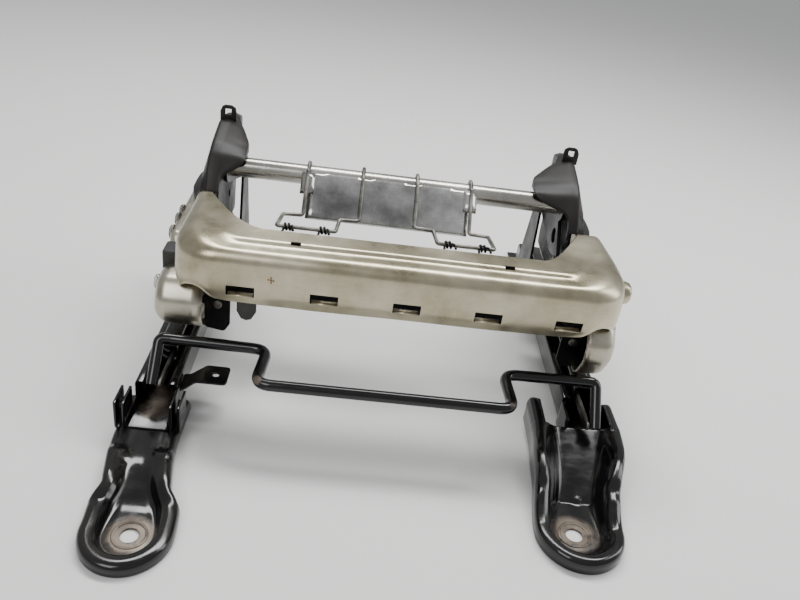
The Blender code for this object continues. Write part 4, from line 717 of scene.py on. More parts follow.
# the stamped front feet: a round dished pad over the floor bolt, running back into the rail
foot = {"sheet": 2.6, "rim": 13.0, "hole": 8.2, "turns": 72, "samples": 34, "earHeight": 30, "earLength": 28,
        "earSpan": 10.5, "tail": 38, "bridge": 31,
        "left": {"hole": (-206, 0), "half": 39, "ahead": 120, "reach": 1.08},
        "right": {"hole": (194, 45), "half": 41, "ahead": 120, "reach": 1.05}}


# the foot's section at a distance behind its hole: drift of the middle, and points of one half
# as (half width, height)
def footSection(sideName, along):
    if sideName == "left":
        ahead = foot["left"]["ahead"]
        seat = rail["floorZ"] - 0.3 - foot["sheet"]
        flat = smoothStep((along - ahead + 35) / 12)
        drift = -2 - 15 * smoothStep(along / ahead)
        outer = foot["left"]["half"] - 9 * smoothStep((along - 28) / 22)
        floorHalf = 24 - 19 * smoothStep(along / 80)
        low = seat * smoothStep((along - 25) / 60)
        rim = 10 + 7 * smoothStep((along - 20) / 40)
        edge = 4 * smoothStep(along / 60)
        low += (seat - low) * flat
        rim += (seat + 0.6 - rim) * flat
        rimWidth = foot["rim"] - 2.5 * smoothStep((along - 28) / 22)
    else:
        ahead = foot["right"]["ahead"]
        drift = 3.5 + 14.5 * smoothStep(along / ahead)
        outer = foot["right"]["half"] + 5 * smoothStep((along - 40) / 50)
        floorHalf = 22 - 6 * smoothStep(along / 45) + 6 * smoothStep((along - 55) / 60)
        climb = min(max((along - 41) / (ahead - 41), 0), 1)
        low = foot["bridge"] * climb ** 0.9
        rim = 12 + 25 * smoothStep((along + 10) / 90)
        edge = 8 * smoothStep(along / 80)
        rimWidth = foot["rim"] - 1.5
    inside = outer - rimWidth
    rise = rim - low
    control = [(0, low), (floorHalf * 0.6, low), (floorHalf, low + 0.02 * rise),
               (floorHalf + 0.35 * (inside - floorHalf), low + 0.20 * rise),
               (floorHalf + 0.75 * (inside - floorHalf), low + 0.62 * rise),
               (inside + 1.0, rim - 0.10 * rise - 0.4), (outer - 0.62 * rimWidth, rim - 0.1),
               (outer - 0.40 * rimWidth, rim), (outer - 0.15 * rimWidth, rim - 0.9),
               (outer - 0.3, rim - 3.6), (outer, (rim - 3.6 + edge) / 2), (outer, edge)]
    reach = [0.0]
    for first, second in zip(control, control[1:]):
        reach.append(reach[-1] + max(math.dist(first, second), 0.3))
    spots = [reach[-1] * k / foot["samples"] for k in range(foot["samples"] + 1)]
    widths = curveThrough(reach, [p[0] for p in control], spots)
    heights = curveThrough(reach, [p[1] for p in control], spots)
    return drift, list(zip(widths, heights))


def footMesh(sideName):
    size = foot[sideName]
    holeX, holeY = size["hole"]
    lift = foot["sheet"] / 2
    shape = bmesh.new()
    drift, half = footSection(sideName, 0)

    def vertex(x, y, z):
        return shape.verts.new(place(holeX + x, holeY + y, z + lift))

    middle = vertex(drift, 0, half[0][1])
    fronts = []
    for k in range(foot["turns"] + 1):
        angle = math.pi * k / foot["turns"]
        fronts.append([vertex(drift - math.cos(angle) * x, -math.sin(angle) * x * size["reach"], z)
                       for x, z in half[1:]])
    for first, second in zip(fronts, fronts[1:]):
        shape.faces.new((middle, first[0], second[0]))
        for i in range(len(first) - 1):
            shape.faces.new((first[i], first[i + 1], second[i + 1], second[i]))
    previous = fronts[0][::-1] + [middle] + fronts[-1]
    length = size["ahead"] + (50 if sideName == "left" else -0.3)
    for k in range(1, foot["turns"] + 1):
        along = length * k / foot["turns"]
        drift, half = footSection(sideName, along)
        whole = [(-x, z) for x, z in half[:0:-1]] + half
        row = [vertex(drift + x, along, z) for x, z in whole]
        for i in range(len(row) - 1):
            shape.faces.new((previous[i], previous[i + 1], row[i + 1], row[i]))
        previous = row
    # small dents: the pinched corners where the round pad runs into the arm, and stamped marks
    marks = {"left": [((-246, 30), 11, -1.6), ((-172, 32), 11, -1.6), ((-232, 74), 6, -1.0),
                      ((-192, 78), 5, -0.8)],
             "right": [((160, 84), 12, -2.0), ((238, 84), 13, -2.4), ((205, 88), 7, 1.2)]}
    for vert in shape.verts:
        for spot, radius, depth in marks[sideName]:
            away = (Vector((vert.co.x, vert.co.y)) - place(*spot, 0).xy).length * 1000 / radius
            if away < 1:
                vert.co.z += depth * 0.001 * smoothStep(1 - away)
    bmesh.ops.recalc_face_normals(shape, faces=shape.faces)
    return meshOf(shape, "foot")


# a ring or disc about an upright axis; the profile is (radius, z)
def upright(profile, x, y, segments=48, ring=False):
    rows = [[place(*p, z) for p in circlePoints(x, y, r, segments)]
            for r, z in (profile + profile[:1] if ring else profile)]
    return loftMesh(rows, closed=True, caps=() if ring else (0, -1))


# a U folded round the rail or beside it, open above
def foldedU(innerX, outerX, low, high, startY, endY):
    sheet = math.copysign(foot["sheet"] / 2, outerX - innerX)
    section = [(innerX + sheet, 0, high), (innerX + sheet, 0, low + foot["sheet"] / 2),
               (outerX - sheet, 0, low + foot["sheet"] / 2), (outerX - sheet, 0, high)]
    bent = roundPath(section, 3.0, 6)
    return loftMesh([[place(p[0], startY + (endY - startY) * k / 4, p[2]) for p in bent] for k in range(5)])


for sideName, sign in sides:
    size = foot[sideName]
    look = sideName + "Foot"
    holeX, holeY = size["hole"]
    middle = sign * rail["middle"]
    end = holeY + size["ahead"]
    pad = sheetPiece(sideName + "StampedFoot", footMesh(sideName), look, foot["sheet"], smooth=60)
    cutPiece(pad, [upright([(foot["hole"], -10), (foot["hole"], 20)], holeX, holeY)])
    easeEdges(pad, 0.5)
    for vertex in pad.data.vertices:                                   # nothing dips below the floor
        vertex.co.z = max(vertex.co.z, 0.0)
    attach(pad, sideName + "_slide", "black_paint", sideName + "_front_foot")
    low = rail["floorZ"] - 0.3 - foot["sheet"]
    high = rail["floorZ"] + foot["earHeight"]
    folds = []
    if sideName == "left":
        for way in (-1, 1):
            folds.append(foldedU(middle + way * 21.3, middle + way * (21.3 + foot["earSpan"]), low, high,
                                 end, end + foot["earLength"]))
    else:
        folds.append(foldedU(middle - 23.9, middle + 23.9, low, high, end - 3, end + foot["earLength"]))
        drift, half = footSection(sideName, size["ahead"])
        skirt = [p for p in half if p[0] > half[-1][0] - 13]
        for way in (-1, 1):
            rows = []
            for t in [k / 8 for k in range(9)]:
                rows.append([place(holeX + drift + way * (x - 0.6 * t), end - 6 + (foot["tail"] + 6) * t,
                                   z + 1.3 - 0.5 * t) for x, z in skirt])
            folds.append(loftMesh(rows))
    foldPiece = sheetPiece(sideName + "FootFolds", joinMeshes(folds), look, foot["sheet"], smooth=50)
    attach(easeEdges(bakeModifiers(foldPiece), 0.4), sideName + "_slide", "black_paint")
    # the ring that the bolt's washer has pressed round the hole
    ring = upright([(13.2, 3.0), (13.6, 3.3), (15.0, 3.3), (15.6, 2.9), (15.6, 2.0), (13.2, 2.0)],
                   holeX, holeY, 64, ring=True)
    addPiece(sideName + "WasherMark", ring, look, sideName + "_slide", "black_paint")
print("feet done")

# side members: deep trays with a bulbous nose round the front pivot
member = {"pivotY": 250, "pivotZ": 106, "sheet": 1.4, "plateRim": 199.3, "noseEnd": 12, "middleEnd": 88,
          "left": {"face": 238, "noseRim": 188, "middleRim": 217.6, "low": 30},
          "right": {"face": 245.5, "noseRim": 212, "middleRim": 240.6, "low": 41}}


def memberMesh(sideName, sign):
    size = member[sideName]
    low, noseRim = size["low"], size["noseRim"]
    nose = [(30, 44.5), (14, 22.5), (-6, 26.5), (-32, 24.0), (-46, 6), (-47, -14), (-32, -low), (12, 1 - low),
            (50, -16)]
    edge = [(95, -2), (188, 0), (205, 6), (205, 38), (196, 45.8), (150, 46.5), (95, 46.0)]
    if sideName == "right":
        edge += [(83.1, 57.1), (46.1, 57.1), (40, 45.0)]
    else:
        edge += [(83, 45.5), (40, 44.5)]
    smooth = roundPath([(0, y, z) for y, z in nose + edge], 15, 9, closed=True)
    outline = evenPath(smooth, 3)
    for _ in range(3):                                                 # takes the kinks out between arcs
        following = outline[1:] + outline[:1]
        outline = [(outline[i - 1] + 2 * p + following[i]) / 4 for i, p in enumerate(outline)]
    web = size["face"] - member["sheet"] / 2
    count = len(outline)
    rims = []
    for p in outline:
        nearNose = smoothStep((p.y - member["noseEnd"] + 6) / 12)
        nearPlate = smoothStep((p.y - member["middleEnd"] + 5) / 10)
        rims.append(noseRim + (size["middleRim"] - noseRim) * nearNose
                    + (member["plateRim"] - size["middleRim"]) * nearPlate)
    steps = 9
    rows = [[] for k in range(steps + 4)]
    for i, point in enumerate(outline):
        along = (outline[(i + 3) % count] - outline[i - 3]).normalized()
        inward = Vector((0, -along.z, along.y))
        bend = min(13 - 7.5 * smoothStep((point.y - 10) / 30), 0.85 * (web - rims[i]))
        for k in range(3):
            x = rims[i] + (web - bend - rims[i]) * k / 3
            rows[k].append((x, point))
        for k in range(steps + 1):
            angle = math.pi / 2 * k / steps
            rows[k + 3].append((web - bend + bend * math.sin(angle),
                                point + inward * bend * (1 - math.cos(angle))))
    rows = [[place(sign * x, member["pivotY"] + p.y, member["pivotZ"] + p.z) for x, p in row] for row in rows]
    return loftMesh(rows, closed=True, caps=(-1,))


for sideName, sign in sides:
    tray = sheetPiece(sideName + "PressedMember", memberMesh(sideName, sign), "member", member["sheet"], 50)
    attach(bakeModifiers(tray), "cushion_frame", "bare_steel", sideName + "_side_member")
# black gussets inside the noses, facing forwards, each with a rivet
gusset = {"y": 233, "sheet": 2.5, "low": 63, "high": 127, "left": (164, 191), "right": (193, 226),
          "rivetIn": 13, "rivetUp": 34, "rivetHole": 4.2}
for sideName, sign in sides:
    (inner, outer), low, high = gusset[sideName], gusset["low"], gusset["high"]
    rivetX, rivetZ = sign * (inner + gusset["rivetIn"]), low + gusset["rivetUp"]
    corners = ((inner + 6, low), (outer, low + 4), (outer, high), (inner + 8, high), (inner, high - 14),
               (inner, low + 10))
    face = roundPath([(sign * x, z, 0) for x, z in corners], 5, 5, closed=True)
    panel = plateMesh([(p.x, p.y) for p in face], [(rivetX, rivetZ, gusset["rivetHole"])], gusset["y"],
                      gusset["sheet"], 0.6, "Y")
    addPiece(sideName + "NoseGusset", panel, "plate", "cushion_frame", "blue_black")
    rivet = turnedMesh([(-2.6, 3.0), (-0.4, 3.0), (-0.2, 4.6), (0.6, 5.0), (1.6, 4.2), (2.0, 2.4)], 0, 0, 28)
    rivet.transform(Matrix.Translation(place(rivetX, gusset["y"] - 1.6, rivetZ))
                    @ Matrix.Rotation(-math.pi / 2, 4, "Z") @ Matrix.Translation(-place(0, 0, 0)))
    addPiece(sideName + "NoseRivet", rivet, "dull", "cushion_frame", "dull_steel")
print("side members done")


# rear covers: a shroud over each upright plate, with a leaf leaning inwards and a fixing tab
cover = {"axisY": 343, "axisZ": 207.5, "plateX": 197.5, "sheet": 2.2, "tabBack": 50, "tabUp": 31,
         "leaf": {"left": 1.0, "right": 2.1}, "leanIn": {"left": 4.5, "right": 7.5},
         # all from the tube's axis: the height of the top along Y
         "tops": [(-37, -17.5), (-27, 0), (-13, 16.5), (2, 24), (17, 28), (42, 34), (67, 35.5), (89, 28.5)],
         # along Y: reach outside and inside the plate, then the outer and inner lower edges
         "stations": [(-37, 17.5, 5, -29.5, -25.5), (-27, 21.5, 5, -35.5, -4.5), (-22.5, 23, 12.5, -37.5, 2),
                      (-17.5, 24, 23.5, -39.5, 4.5), (-13, 24.7, 28.5, -41.5, 12.5),
                      (17, 23.5, 28.5, -44.5, 12.5), (67, 9.5, 9.5, -47.5, 12.5), (89, 8.5, 8.5, -45.5, 12.5)]}


def coverMesh(sideName, sign):
    stretch, leanIn = cover["leaf"][sideName], cover["leanIn"][sideName]
    spots = [-37 + 126 * k / 60 for k in range(61)]
    tops = np.interp(spots, *zip(*cover["tops"]))
    columns = list(zip(*cover["stations"]))
    outs, ins, outLows, inLows = (np.interp(spots, columns[0], values) for values in columns[1:])

    def soften(values, times):
        values = np.array(values)
        for _ in range(times):
            values[1:-1] = (values[:-2] + 2 * values[1:-1] + values[2:]) / 4
        return values

    tops, outs, ins, inLows = (soften(v, 3) for v in (tops, outs, ins, inLows))
    ins = np.where(ins > 14, 14 + (ins - 14) * stretch, ins)
    rows = []
    for y, top, out, inner, outLow, inLow in zip(spots, tops, outs, ins, outLows, inLows):
        outer = cover["plateX"] + out
        inside = cover["plateX"] - inner
        brow = min(outer, cover["plateX"] + (13 if sign < 0 else 11.5))
        crown = brow - min(leanIn, (brow - cover["plateX"]) * 0.6)
        crease = cover["plateX"] - min(4, inner * 0.6)
        turn = min((crown - crease) * 0.3, 4, (top - inLow) * 0.6)
        lean = min(6.0, (top - inLow) * 0.45) * smoothStep((crease - inside) / 12)
        step = outLow + (top - turn - outLow) * 0.36
        line = [(outer, outLow), (outer, outLow + (step - outLow) * 0.5), (outer - 0.3, step - 1.5),
                (outer - (outer - brow) * 0.35, step + 1.5), (brow + 0.4, step + 6),
                (brow, (step + 6 + top - turn) / 2)]
        for degrees in (0, 22, 45, 68, 90):
            angle = math.radians(degrees)
            line.append((crown - turn + turn * math.cos(angle), top - turn + turn * math.sin(angle)))
        line += [(crease + 1.2, top), (crease, top - 0.5)]
        for t in (0.33, 0.66, 0.92):
            line.append((crease + (inside - crease) * t, top - 0.5 - lean * t))
        fall = top - 0.5 - lean
        line += [(inside + 0.2, fall - 0.8), (inside, fall - 2.0), (inside, min(inLow, fall - 2.4))]
        rows.append([place(sign * x, cover["axisY"] + y, cover["axisZ"] + z) for x, z in line])
    return loftMesh(rows)


for sideName, sign in sides:
    shroud = sheetPiece(sideName + "Shroud", coverMesh(sideName, sign), "shield", cover["sheet"], smooth=32)
    attach(easeEdges(bakeModifiers(shroud), 0.5, angle=50), "cushion_frame", "dark_plastic",
           sideName + "_rear_cover")
    tabX = sign * cover["plateX"]
    tabY, tabZ = cover["axisY"] + cover["tabBack"], cover["axisZ"] + cover["tabUp"]
    curve = [(-9, 0), (-9, 13), (-6.5, 18.5), (-3, 20), (4, 20), (8, 17.5), (9, 13), (9, 0)]
    tabOutline = [(tabX - sign * x, tabZ + z) for x, z in curve]
    tab = finishMesh(sideName + "ShroudTab", plateMesh(tabOutline, [], tabY, 2.4, 0.5, "Y"), "shield")
    window = boxMesh((tabX - 3.5, tabY - 9, tabZ + 9), (tabX + 3.5, tabY + 9, tabZ + 16))
    attach(cutPiece(tab, [window]), "cushion_frame", "dark_plastic")
print("rear covers done")


# height adjuster: links, risers, upright plates and gears
lift = {"frontY": 250, "frontZ": 106, "tubeY": 343, "tubeZ": 207.5, "back": 78.81, "drop": 31.84, "pivot": 5.3,
        "frontX": 183.5, "rearX": 188, "linkSheet": 4, "riserSheet": 3, "plateX": 197.5, "railTop": 57.3,
        "flangeX": 231.5, "bossRadius": 13.5, "hubRadius": 18.5,
        "gearModule": 2, "sectorTeeth": 60, "pinionTeeth": 9, "sectorMiddle": -96, "sectorSweep": 60, "lag": 19}
tubeSpot = (lift["tubeY"], lift["tubeZ"])
upperPivot = (lift["frontY"], lift["frontZ"])
rearPivot = (lift["tubeY"] + lift["back"], lift["tubeZ"] - lift["drop"])
frontPivot = (lift["frontY"] + lift["back"], lift["frontZ"] - lift["drop"])
sectorRadius = lift["gearModule"] * lift["sectorTeeth"] / 2
pinionRadius = lift["gearModule"] * lift["pinionTeeth"] / 2
meshAngle = math.radians(lift["sectorMiddle"] - lift["lag"])
gearCentres = sectorRadius + pinionRadius + 0.2
pinionSpot = (lift["tubeY"] + gearCentres * math.cos(meshAngle),
              lift["tubeZ"] + gearCentres * math.sin(meshAngle))


# points of a toothed edge round (y, z), with rounded flanks and tips
def toothedEdge(centre, radius, teeth, first, last, phase):
    pitch = 2 * math.pi / teeth
    points = []
    for n in range(math.ceil((first - phase) / pitch - 0.001), math.floor((last - phase) / pitch + 0.001) + 1):
        for share, height in ((-0.34, -1.15), (-0.28, -1.0), (-0.22, -0.2), (-0.15, 0.6), (-0.10, 0.85),
                              (0.10, 0.85), (0.15, 0.6), (0.22, -0.2), (0.28, -1.0), (0.34, -1.15)):
            angle = phase + (n + share) * pitch
            reach = radius + height * lift["gearModule"]
            points.append((centre[0] + reach * math.cos(angle), centre[1] + reach * math.sin(angle)))
    return points


def arcPoints(y, z, radius, start, sweep, count=24):
    return [(y + radius * math.cos(start + sweep * k / count), z + radius * math.sin(start + sweep * k / count))
            for k in range(count + 1)]


def addPlate(name, outline, holes, middle, thickness, look, bodyName, slotName, *hidden, ease=0.5):
    mesh = plateMesh(outline, holes, middle, thickness, ease)
    return addPiece(name, mesh, look, bodyName, slotName, *hidden)


for sideName, sign in sides:
    x = sign * lift["frontX"]
    addPlate(sideName + "FrontLift", strungOutline([(*upperPivot, lift["bossRadius"]), (*frontPivot, 12.5)]),
             [(*upperPivot, lift["pivot"]), (*frontPivot, lift["pivot"])], x, lift["linkSheet"], "link",
             sideName + "_front_link", "blue_black", sideName + "_front_link")
    x = sign * lift["rearX"]
    holes = [(*tubeSpot, 11.3), (*rearPivot, lift["pivot"])]
    if sideName == "left":
        outline = strungOutline([(*tubeSpot, lift["hubRadius"]), (*rearPivot, lift["bossRadius"])])
    else:
        middle = math.radians(lift["sectorMiddle"])
        half = math.radians(lift["sectorSweep"] / 2)
        outline = toothedEdge(tubeSpot, sectorRadius, lift["sectorTeeth"], middle - half, middle + half,
                              meshAngle + math.pi / lift["sectorTeeth"])
        slope = math.atan2(-lift["drop"], lift["back"])
        outline += arcPoints(*rearPivot, lift["bossRadius"], slope - math.pi / 2, math.pi)
        outline += arcPoints(*tubeSpot, lift["hubRadius"], slope + math.pi / 2, math.radians(178))
        holes.append((lift["tubeY"] + sectorRadius * 0.62 * math.cos(middle),
                      lift["tubeZ"] + sectorRadius * 0.62 * math.sin(middle), 9))
    addPlate(sideName + "RearLift", outline, holes, x, lift["linkSheet"], "link", "rear_links", "blue_black",
             sideName + "_rear_link", ease=0.35)
    # weld bead between the link and the tube
    bead = [(x + sign * dx, 11.0 + h) for dx, h in ((2.0, 0.1), (2.0, 2.6), (2.6, 2.4), (3.4, 1.5), (4.0, 0.3))]
    beadMesh = turnedMesh(bead, *tubeSpot, 56, closed=True)
    centre = place(x, *tubeSpot)
    for vertex in beadMesh.vertices:                                   # ripples of the weld, 3 mm apart
        if abs(vertex.co.x - centre.x) > 0.0022:
            turn = math.atan2(vertex.co.z - centre.z, vertex.co.y - centre.y)
            vertex.co.x += sign * 0.0003 * math.sin(turn * 26)
    addPiece(sideName + "TubeWeld", beadMesh, "dull", "rear_links", "dull_steel")
    for where, pivot, plateX, middleY, length in (("front", frontPivot, 177.5, frontPivot[0] + 4, 56),
                                                  ("rear", rearPivot, 182.0, rearPivot[0] + 6, 74)):
        low, startY, endY = lift["railTop"], middleY - length / 2, middleY + length / 2
        corners = [(startY + 1, low + 1, 1), (endY - 1, low + 1, 1), (*pivot, 14.5)]
        wall = plateMesh(strungOutline(corners), [(*pivot, lift["pivot"])], sign * plateX, lift["riserSheet"])
        flange = boxMesh((sign * (plateX + 0.5), startY, low),
                         (sign * lift["flangeX"], endY, low + lift["riserSheet"]))
        bracket = finishMesh(f"{sideName}{where.title()}Bracket", joinMeshes([wall, flange]), "plate")
        attach(easeEdges(bracket, 0.45, angle=60), "carriage", "blue_black", f"{sideName}_{where}_riser")
    outline = [(-35, -95.5), (97, -95.5), (103, -47.5), (93, 7.5), (81, 24.6), (67, 29.0),
               (42, 27.5), (12, 20.1), (-7, 14.6), (-25, -4.2), (-35, -47.5)]
    rounded = roundPath([(0, lift["tubeY"] + y, lift["tubeZ"] + z) for y, z in outline], 6, 5, closed=True)
    holes = [(*tubeSpot, 13.8), (lift["tubeY"] + 72, lift["tubeZ"] + 12, 5.5),
             (lift["tubeY"] + 57, lift["tubeZ"] - 59.5, 4.5)]
    if sideName == "right":
        holes.append((*pinionSpot, 7.5))
    addPlate(sideName + "UprightPlate", [(p.y, p.z) for p in rounded], holes, sign * lift["plateX"], 3, "plate",
             "cushion_frame", "blue_black", sideName + "_recliner_plate")
    bush = [(190.3, 11.3), (200.5, 11.3), (200.5, 13.2), (200.2, 13.5), (195.7, 13.5), (195.7, 16.4),
            (195.3, 16.8), (190.7, 16.8), (190.3, 16.4)]
    bushMesh = turnedMesh([(sign * bx, radius) for bx, radius in bush], *tubeSpot, closed=True)
    addPiece(sideName + "TubeBush", bushMesh, "blackNylon", "cushion_frame", "dark_plastic",
             sideName + "_tube_bushing")
pinionEdge = toothedEdge(pinionSpot, pinionRadius, lift["pinionTeeth"], 0.001, 2 * math.pi, meshAngle + math.pi)
shaft = turnedMesh([(lift["rearX"] + 2, 4.2), (226.1, 4.2), (226.5, 3.8)], *pinionSpot, 32)
addPiece("liftPinion", joinMeshes([plateMesh(pinionEdge, [], lift["rearX"], 6, 0.3), shaft]), "dull",
         "pinion", "dull_steel", "lifter_pinion")
drum = [(199.3, 4.5), (244.0, 4.5), (244.0, 8.4), (243.4, 9.0), (232.0, 9.0), (231.4, 9.6), (231.4, 14.2),
        (230.6, 15.0), (222, 15.0), (221.5, 14.4), (220, 14.4), (219.5, 15.0), (209.2, 15.0), (208.3, 14.2),
        (208.3, 11.5), (199.3, 11.5)]
addPiece("brakeDrum", turnedMesh(drum, *pinionSpot, 56, closed=True), "dull",
         "cushion_frame", "dull_steel", "lifter_brake_drum")
print("height adjuster done")


# the shouldered pivot bolts, then levers, latches and ball cages
bolts = {"shank": 5.0, "flange": 8.5, "hexagon": 7.6, "headHeight": 4.5}


# a flanged hexagon bolt along X; the head stands at the second end
def boltMesh(tail, end, y, z):
    way = math.copysign(1, end - tail)
    under = end - way * bolts["headHeight"]
    radius, flange, hexagon = bolts["shank"], bolts["flange"], bolts["hexagon"]
    shank = [(tail, radius - 0.7), (tail + way * 0.7, radius), (under - way * 0.6, radius),
             (under, radius + 0.6), (under, flange - 0.3), (under + way * 0.4, flange),
             (under + way * 1.0, flange - 0.2), (under + way * 1.5, hexagon)]
    head = [(under + way * 1.2, hexagon), (end - way * 0.7, hexagon), (end - way * 0.1, 6.3),
            (end - way * 0.1, 4.4), (end - way * 0.6, 3.9)]
    return joinMeshes([turnedMesh(shank, y, z, 40), turnedMesh(head, y, z, 6)])


latch = {"x": 226.8, "leverX": 218.6, "sheet": 3, "toothYs": (252, 264, 276), "toothLow": 17.8, "low": 38.0,
         "pivots": (("lever", 262, 3.0, 215.6), ("latch", 330, 2.2, 224.2)), "pivotZ": 41, "pinLength": 6.2}
cage = {"offset": 16.1, "startY": 285, "endY": 455, "z": 40, "half": 1.1, "ball": 2.6, "ballYs": (295, 445)}
buffer = ((-237, 244, 124), (-219, 268, 147))
stripScrews = ((341, 146), (321, 145.5), (294, 143.5))
for sideName, sign in sides:
    face = member[sideName]["face"]
    for name, tail, end, y, z, bodyName in (
            ("front_upper", 180.3, face + 8.5, lift["frontY"], lift["frontZ"], "cushion_frame"),
            ("front_lower", 186.7, 171.2, *frontPivot, "carriage"),
            ("rear_lower", 191.5, 175.7, *rearPivot, "carriage")):
        bolt = finishMesh(sideName + name.title().replace("_", "") + "Screw",
                          boltMesh(sign * tail, sign * end, y, z), "zinc")
        attach(easeEdges(bolt, 0.25, angle=40), bodyName, "zinc", f"{sideName}_{name}_bolt")
    if sideName == "left":
        for number, (y, z) in enumerate(stripScrews, 1):
            screw = finishMesh(f"leftStripScrew{number}", boltMesh(-232, -face - 3, y, z), "dull")
            attach(easeEdges(screw, 0.25, angle=40), "cushion_frame", "dull_steel")
        cap = finishMesh("leftNoseBuffer", boxMesh(*buffer), "blackNylon")
        attach(easeEdges(cap, 2.5, 3, 60), "cushion_frame", "dark_plastic")
    leverX, latchX = sign * latch["leverX"], sign * latch["x"]
    addPlate(sideName + "Lever", strungOutline([(155, 45.5, 4.5), (262, latch["pivotZ"], 5.5)]),
             [(262, latch["pivotZ"], 3.3)], leverX, latch["sheet"], "dull", "handle", "dull_steel",
             sideName + "_release_lever")
    low, tip = latch["low"], latch["toothLow"]
    teeth = [(335, 36.5), (335, 45.5), (240, 45.5), (238, 49.5), (228, 49.5), (228, low)]
    for y in latch["toothYs"]:                                         # as far apart as the notches
        teeth += [(y, low), (y + 0.6, tip), (y + 4.0, tip), (y + 4.6, low)]
    comb = plateMesh(teeth, [(330, latch["pivotZ"], 2.5)], latchX, latch["sheet"], 0.3)
    finger = boxMesh((latchX - sign * 9, 228, 47.7), (latchX, 236, 49.5))
    addPiece(sideName + "LatchTeeth", joinMeshes([comb, finger]), "dull", sideName + "_latch", "dull_steel",
             sideName + "_latch_plate")
    for name, y, radius, low in latch["pivots"]:
        high = low + latch["pinLength"]
        profile = ((low, radius - 0.4), (low + 0.4, radius), (high - 0.4, radius), (high, radius - 0.4))
        pin = turnedMesh([(sign * x, r) for x, r in profile], y, latch["pivotZ"], 24)
        addPiece(f"{sideName}{name.title()}Pin", pin, "zinc", "carriage", "zinc", f"{sideName}_{name}_pin")
    for where, way in (("inner", -1), ("outer", 1)):
        x = sign * (rail["middle"] + way * cage["offset"])
        shape = bmesh.new()
        for y in cage["ballYs"]:
            bmesh.ops.create_icosphere(shape, subdivisions=3, radius=cage["ball"] * 0.001,
                                       matrix=Matrix.Translation(place(x, y, cage["z"])))
        strip = joinMeshes([boxMesh((x - cage["half"], cage["startY"], cage["z"] - cage["half"]),
                                    (x + cage["half"], cage["endY"], cage["z"] + cage["half"])),
                            meshOf(shape, "balls")])
        attach(easeEdges(finishMesh(f"{sideName}{where.title()}Cage", strip, "cage"), 0.3, angle=60),
               sideName + "_cages", "cage_plastic", f"{sideName}_{where}_ball_cage")
print("bolts, latches and cages done")


# small fittings: the plug's bracket on the left rail, the boss at the pan's right end, and
# three pieces that keep their solids' shape with eased edges
corners = ((21.3, 34), (35.3, 54), (66.3, 54), (66.3, 84), (41.3, 84), (27.3, 66), (21.3, 66))
railX, railY = -rail["middle"], rail["lowerFront"]["left"]
outline = roundPath([(railX + x, railY + y, 0) for x, y in corners], 5, 6, closed=True)
bracketMesh = plateMesh([(p.x, p.y) for p in outline], [(-170, 189, 3.4)], 36, 2, 0.4, "Z")
addPiece("plugBracket", bracketMesh, "rail", "left_slide", "black_paint", "left_connector_bracket")
boss = [(238.6, 3.5), (238.6, 12.9), (242.0, 12.4), (245.0, 11.6), (246.5, 11.0), (248.2, 9.3),
        (248.6, 8.2), (248.6, 4.2), (247.8, 3.5)]
addPiece("rightPanBoss", turnedMesh(boss, 230, 165.5, closed=True), "pan", "cushion_frame", "dull_steel",
         "right_shield_boss")
for name, bodyName, slotName, look, width in (
        ("left_rear_foot", "left_slide", "black_paint", "rail", 1.2),
        ("right_rear_foot", "right_slide", "black_paint", "rail", 1.2),
        ("pan_harness_clip", "cushion_frame", "dark_plastic", "blackNylon", 0.8)):
    eased = finishMesh(name + "Pressing", nodes[name].data.copy(), look)
    attach(easeEdges(eased, width, 3, 30), bodyName, slotName, name)
print("fittings done")


# studio: pale floor, soft lights and the photograph's viewpoint
def areaLight(name, spot, aim, size, power):
    data = bpy.data.lights.new(name, "AREA")
    data.shape = "RECTANGLE"
    data.size, data.size_y = size
    data.energy = power
    lamp = bpy.data.objects.new(name, data)
    lamp.location = spot
    lamp.rotation_euler = (Vector(aim) - Vector(spot)).to_track_quat("-Z", "Y").to_euler()
    bpy.context.scene.collection.objects.link(lamp)


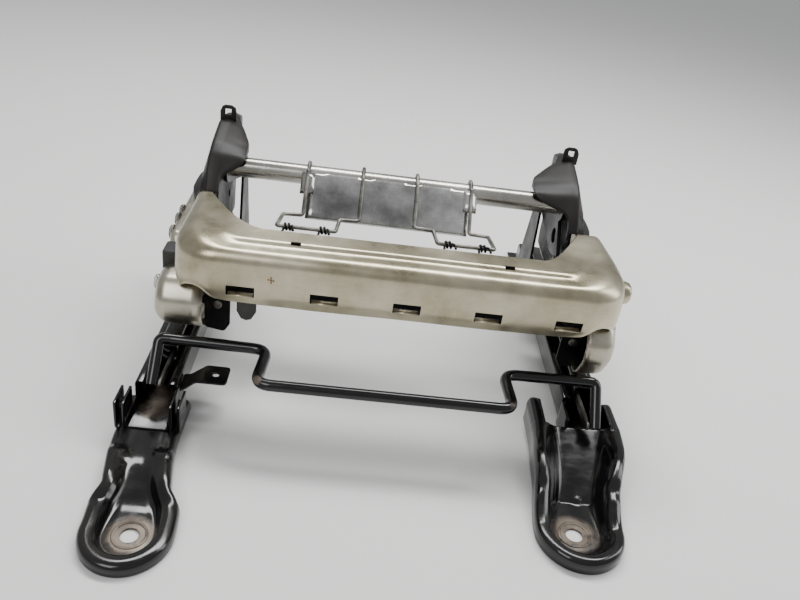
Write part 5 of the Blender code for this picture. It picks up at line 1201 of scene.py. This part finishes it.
floorMaterial, floorTree, floorShader, _ = newMaterial("paleFloor")
setNode(floorTree, floorShader, {"Base Color": linear("#E3E3E1"), "Roughness": 0.7}, {})
floorData = bpy.data.meshes.new("floor")
floorData.from_pydata([(-6, -4, 0), (6, -4, 0), (6, 8, 0), (-6, 8, 0)], [], [(0, 1, 2, 3)])
floorData.materials.append(floorMaterial)
floor = bpy.data.objects.new("floor", floorData)
bpy.context.scene.collection.objects.link(floor)

world = bpy.data.worlds.new("softRoom")
world.use_nodes = True
backdrop = world.node_tree.nodes["Background"]
setNode(world.node_tree, backdrop, {"Color": linear("#D9DADC"), "Strength": 0.66}, {})
bpy.context.scene.world = world
areaLight("overheadSoftbox", (0.15, 0.6, 1.6), (0, 0, 0.12), (1.8, 0.36), 38)
areaLight("frontSoftbox", (-0.9, -1.3, 1.5), (0, 0, 0.1), (0.9, 0.9), 13)
areaLight("rightStrip", (1.5, 0.1, 0.9), (0, 0, 0.12), (0.4, 1.4), 9)

# angles in degrees, focal length and width of the picture in pixels, sensor in mm
camera = {"at": (-43, -464, 547), "yaw": 4.59, "pitch": 31.08, "roll": 8.58, "focal": 776, "wide": 800,
          "sensor": 36}
yaw, pitch, roll = (math.radians(camera[k]) for k in ("yaw", "pitch", "roll"))
forward = Vector((math.sin(yaw) * math.cos(pitch), math.cos(yaw) * math.cos(pitch), -math.sin(pitch)))
right = Vector((math.cos(yaw), -math.sin(yaw), 0))
up = right.cross(forward)
rolledRight = right * math.cos(roll) + up * math.sin(roll)
rolledUp = -right * math.sin(roll) + up * math.cos(roll)
cameraData = bpy.data.cameras.new("photoCamera")
cameraData.sensor_width = camera["sensor"]
cameraData.lens = camera["focal"] * camera["sensor"] / camera["wide"]
cameraData.clip_start = 0.01
view = bpy.data.objects.new("photoCamera", cameraData)
turned = Matrix((rolledRight, rolledUp, -forward)).transposed().to_4x4()
view.matrix_world = Matrix.Translation(place(*camera["at"])) @ turned
bpy.context.scene.collection.objects.link(view)
bpy.context.scene.camera = view
print("studio done")
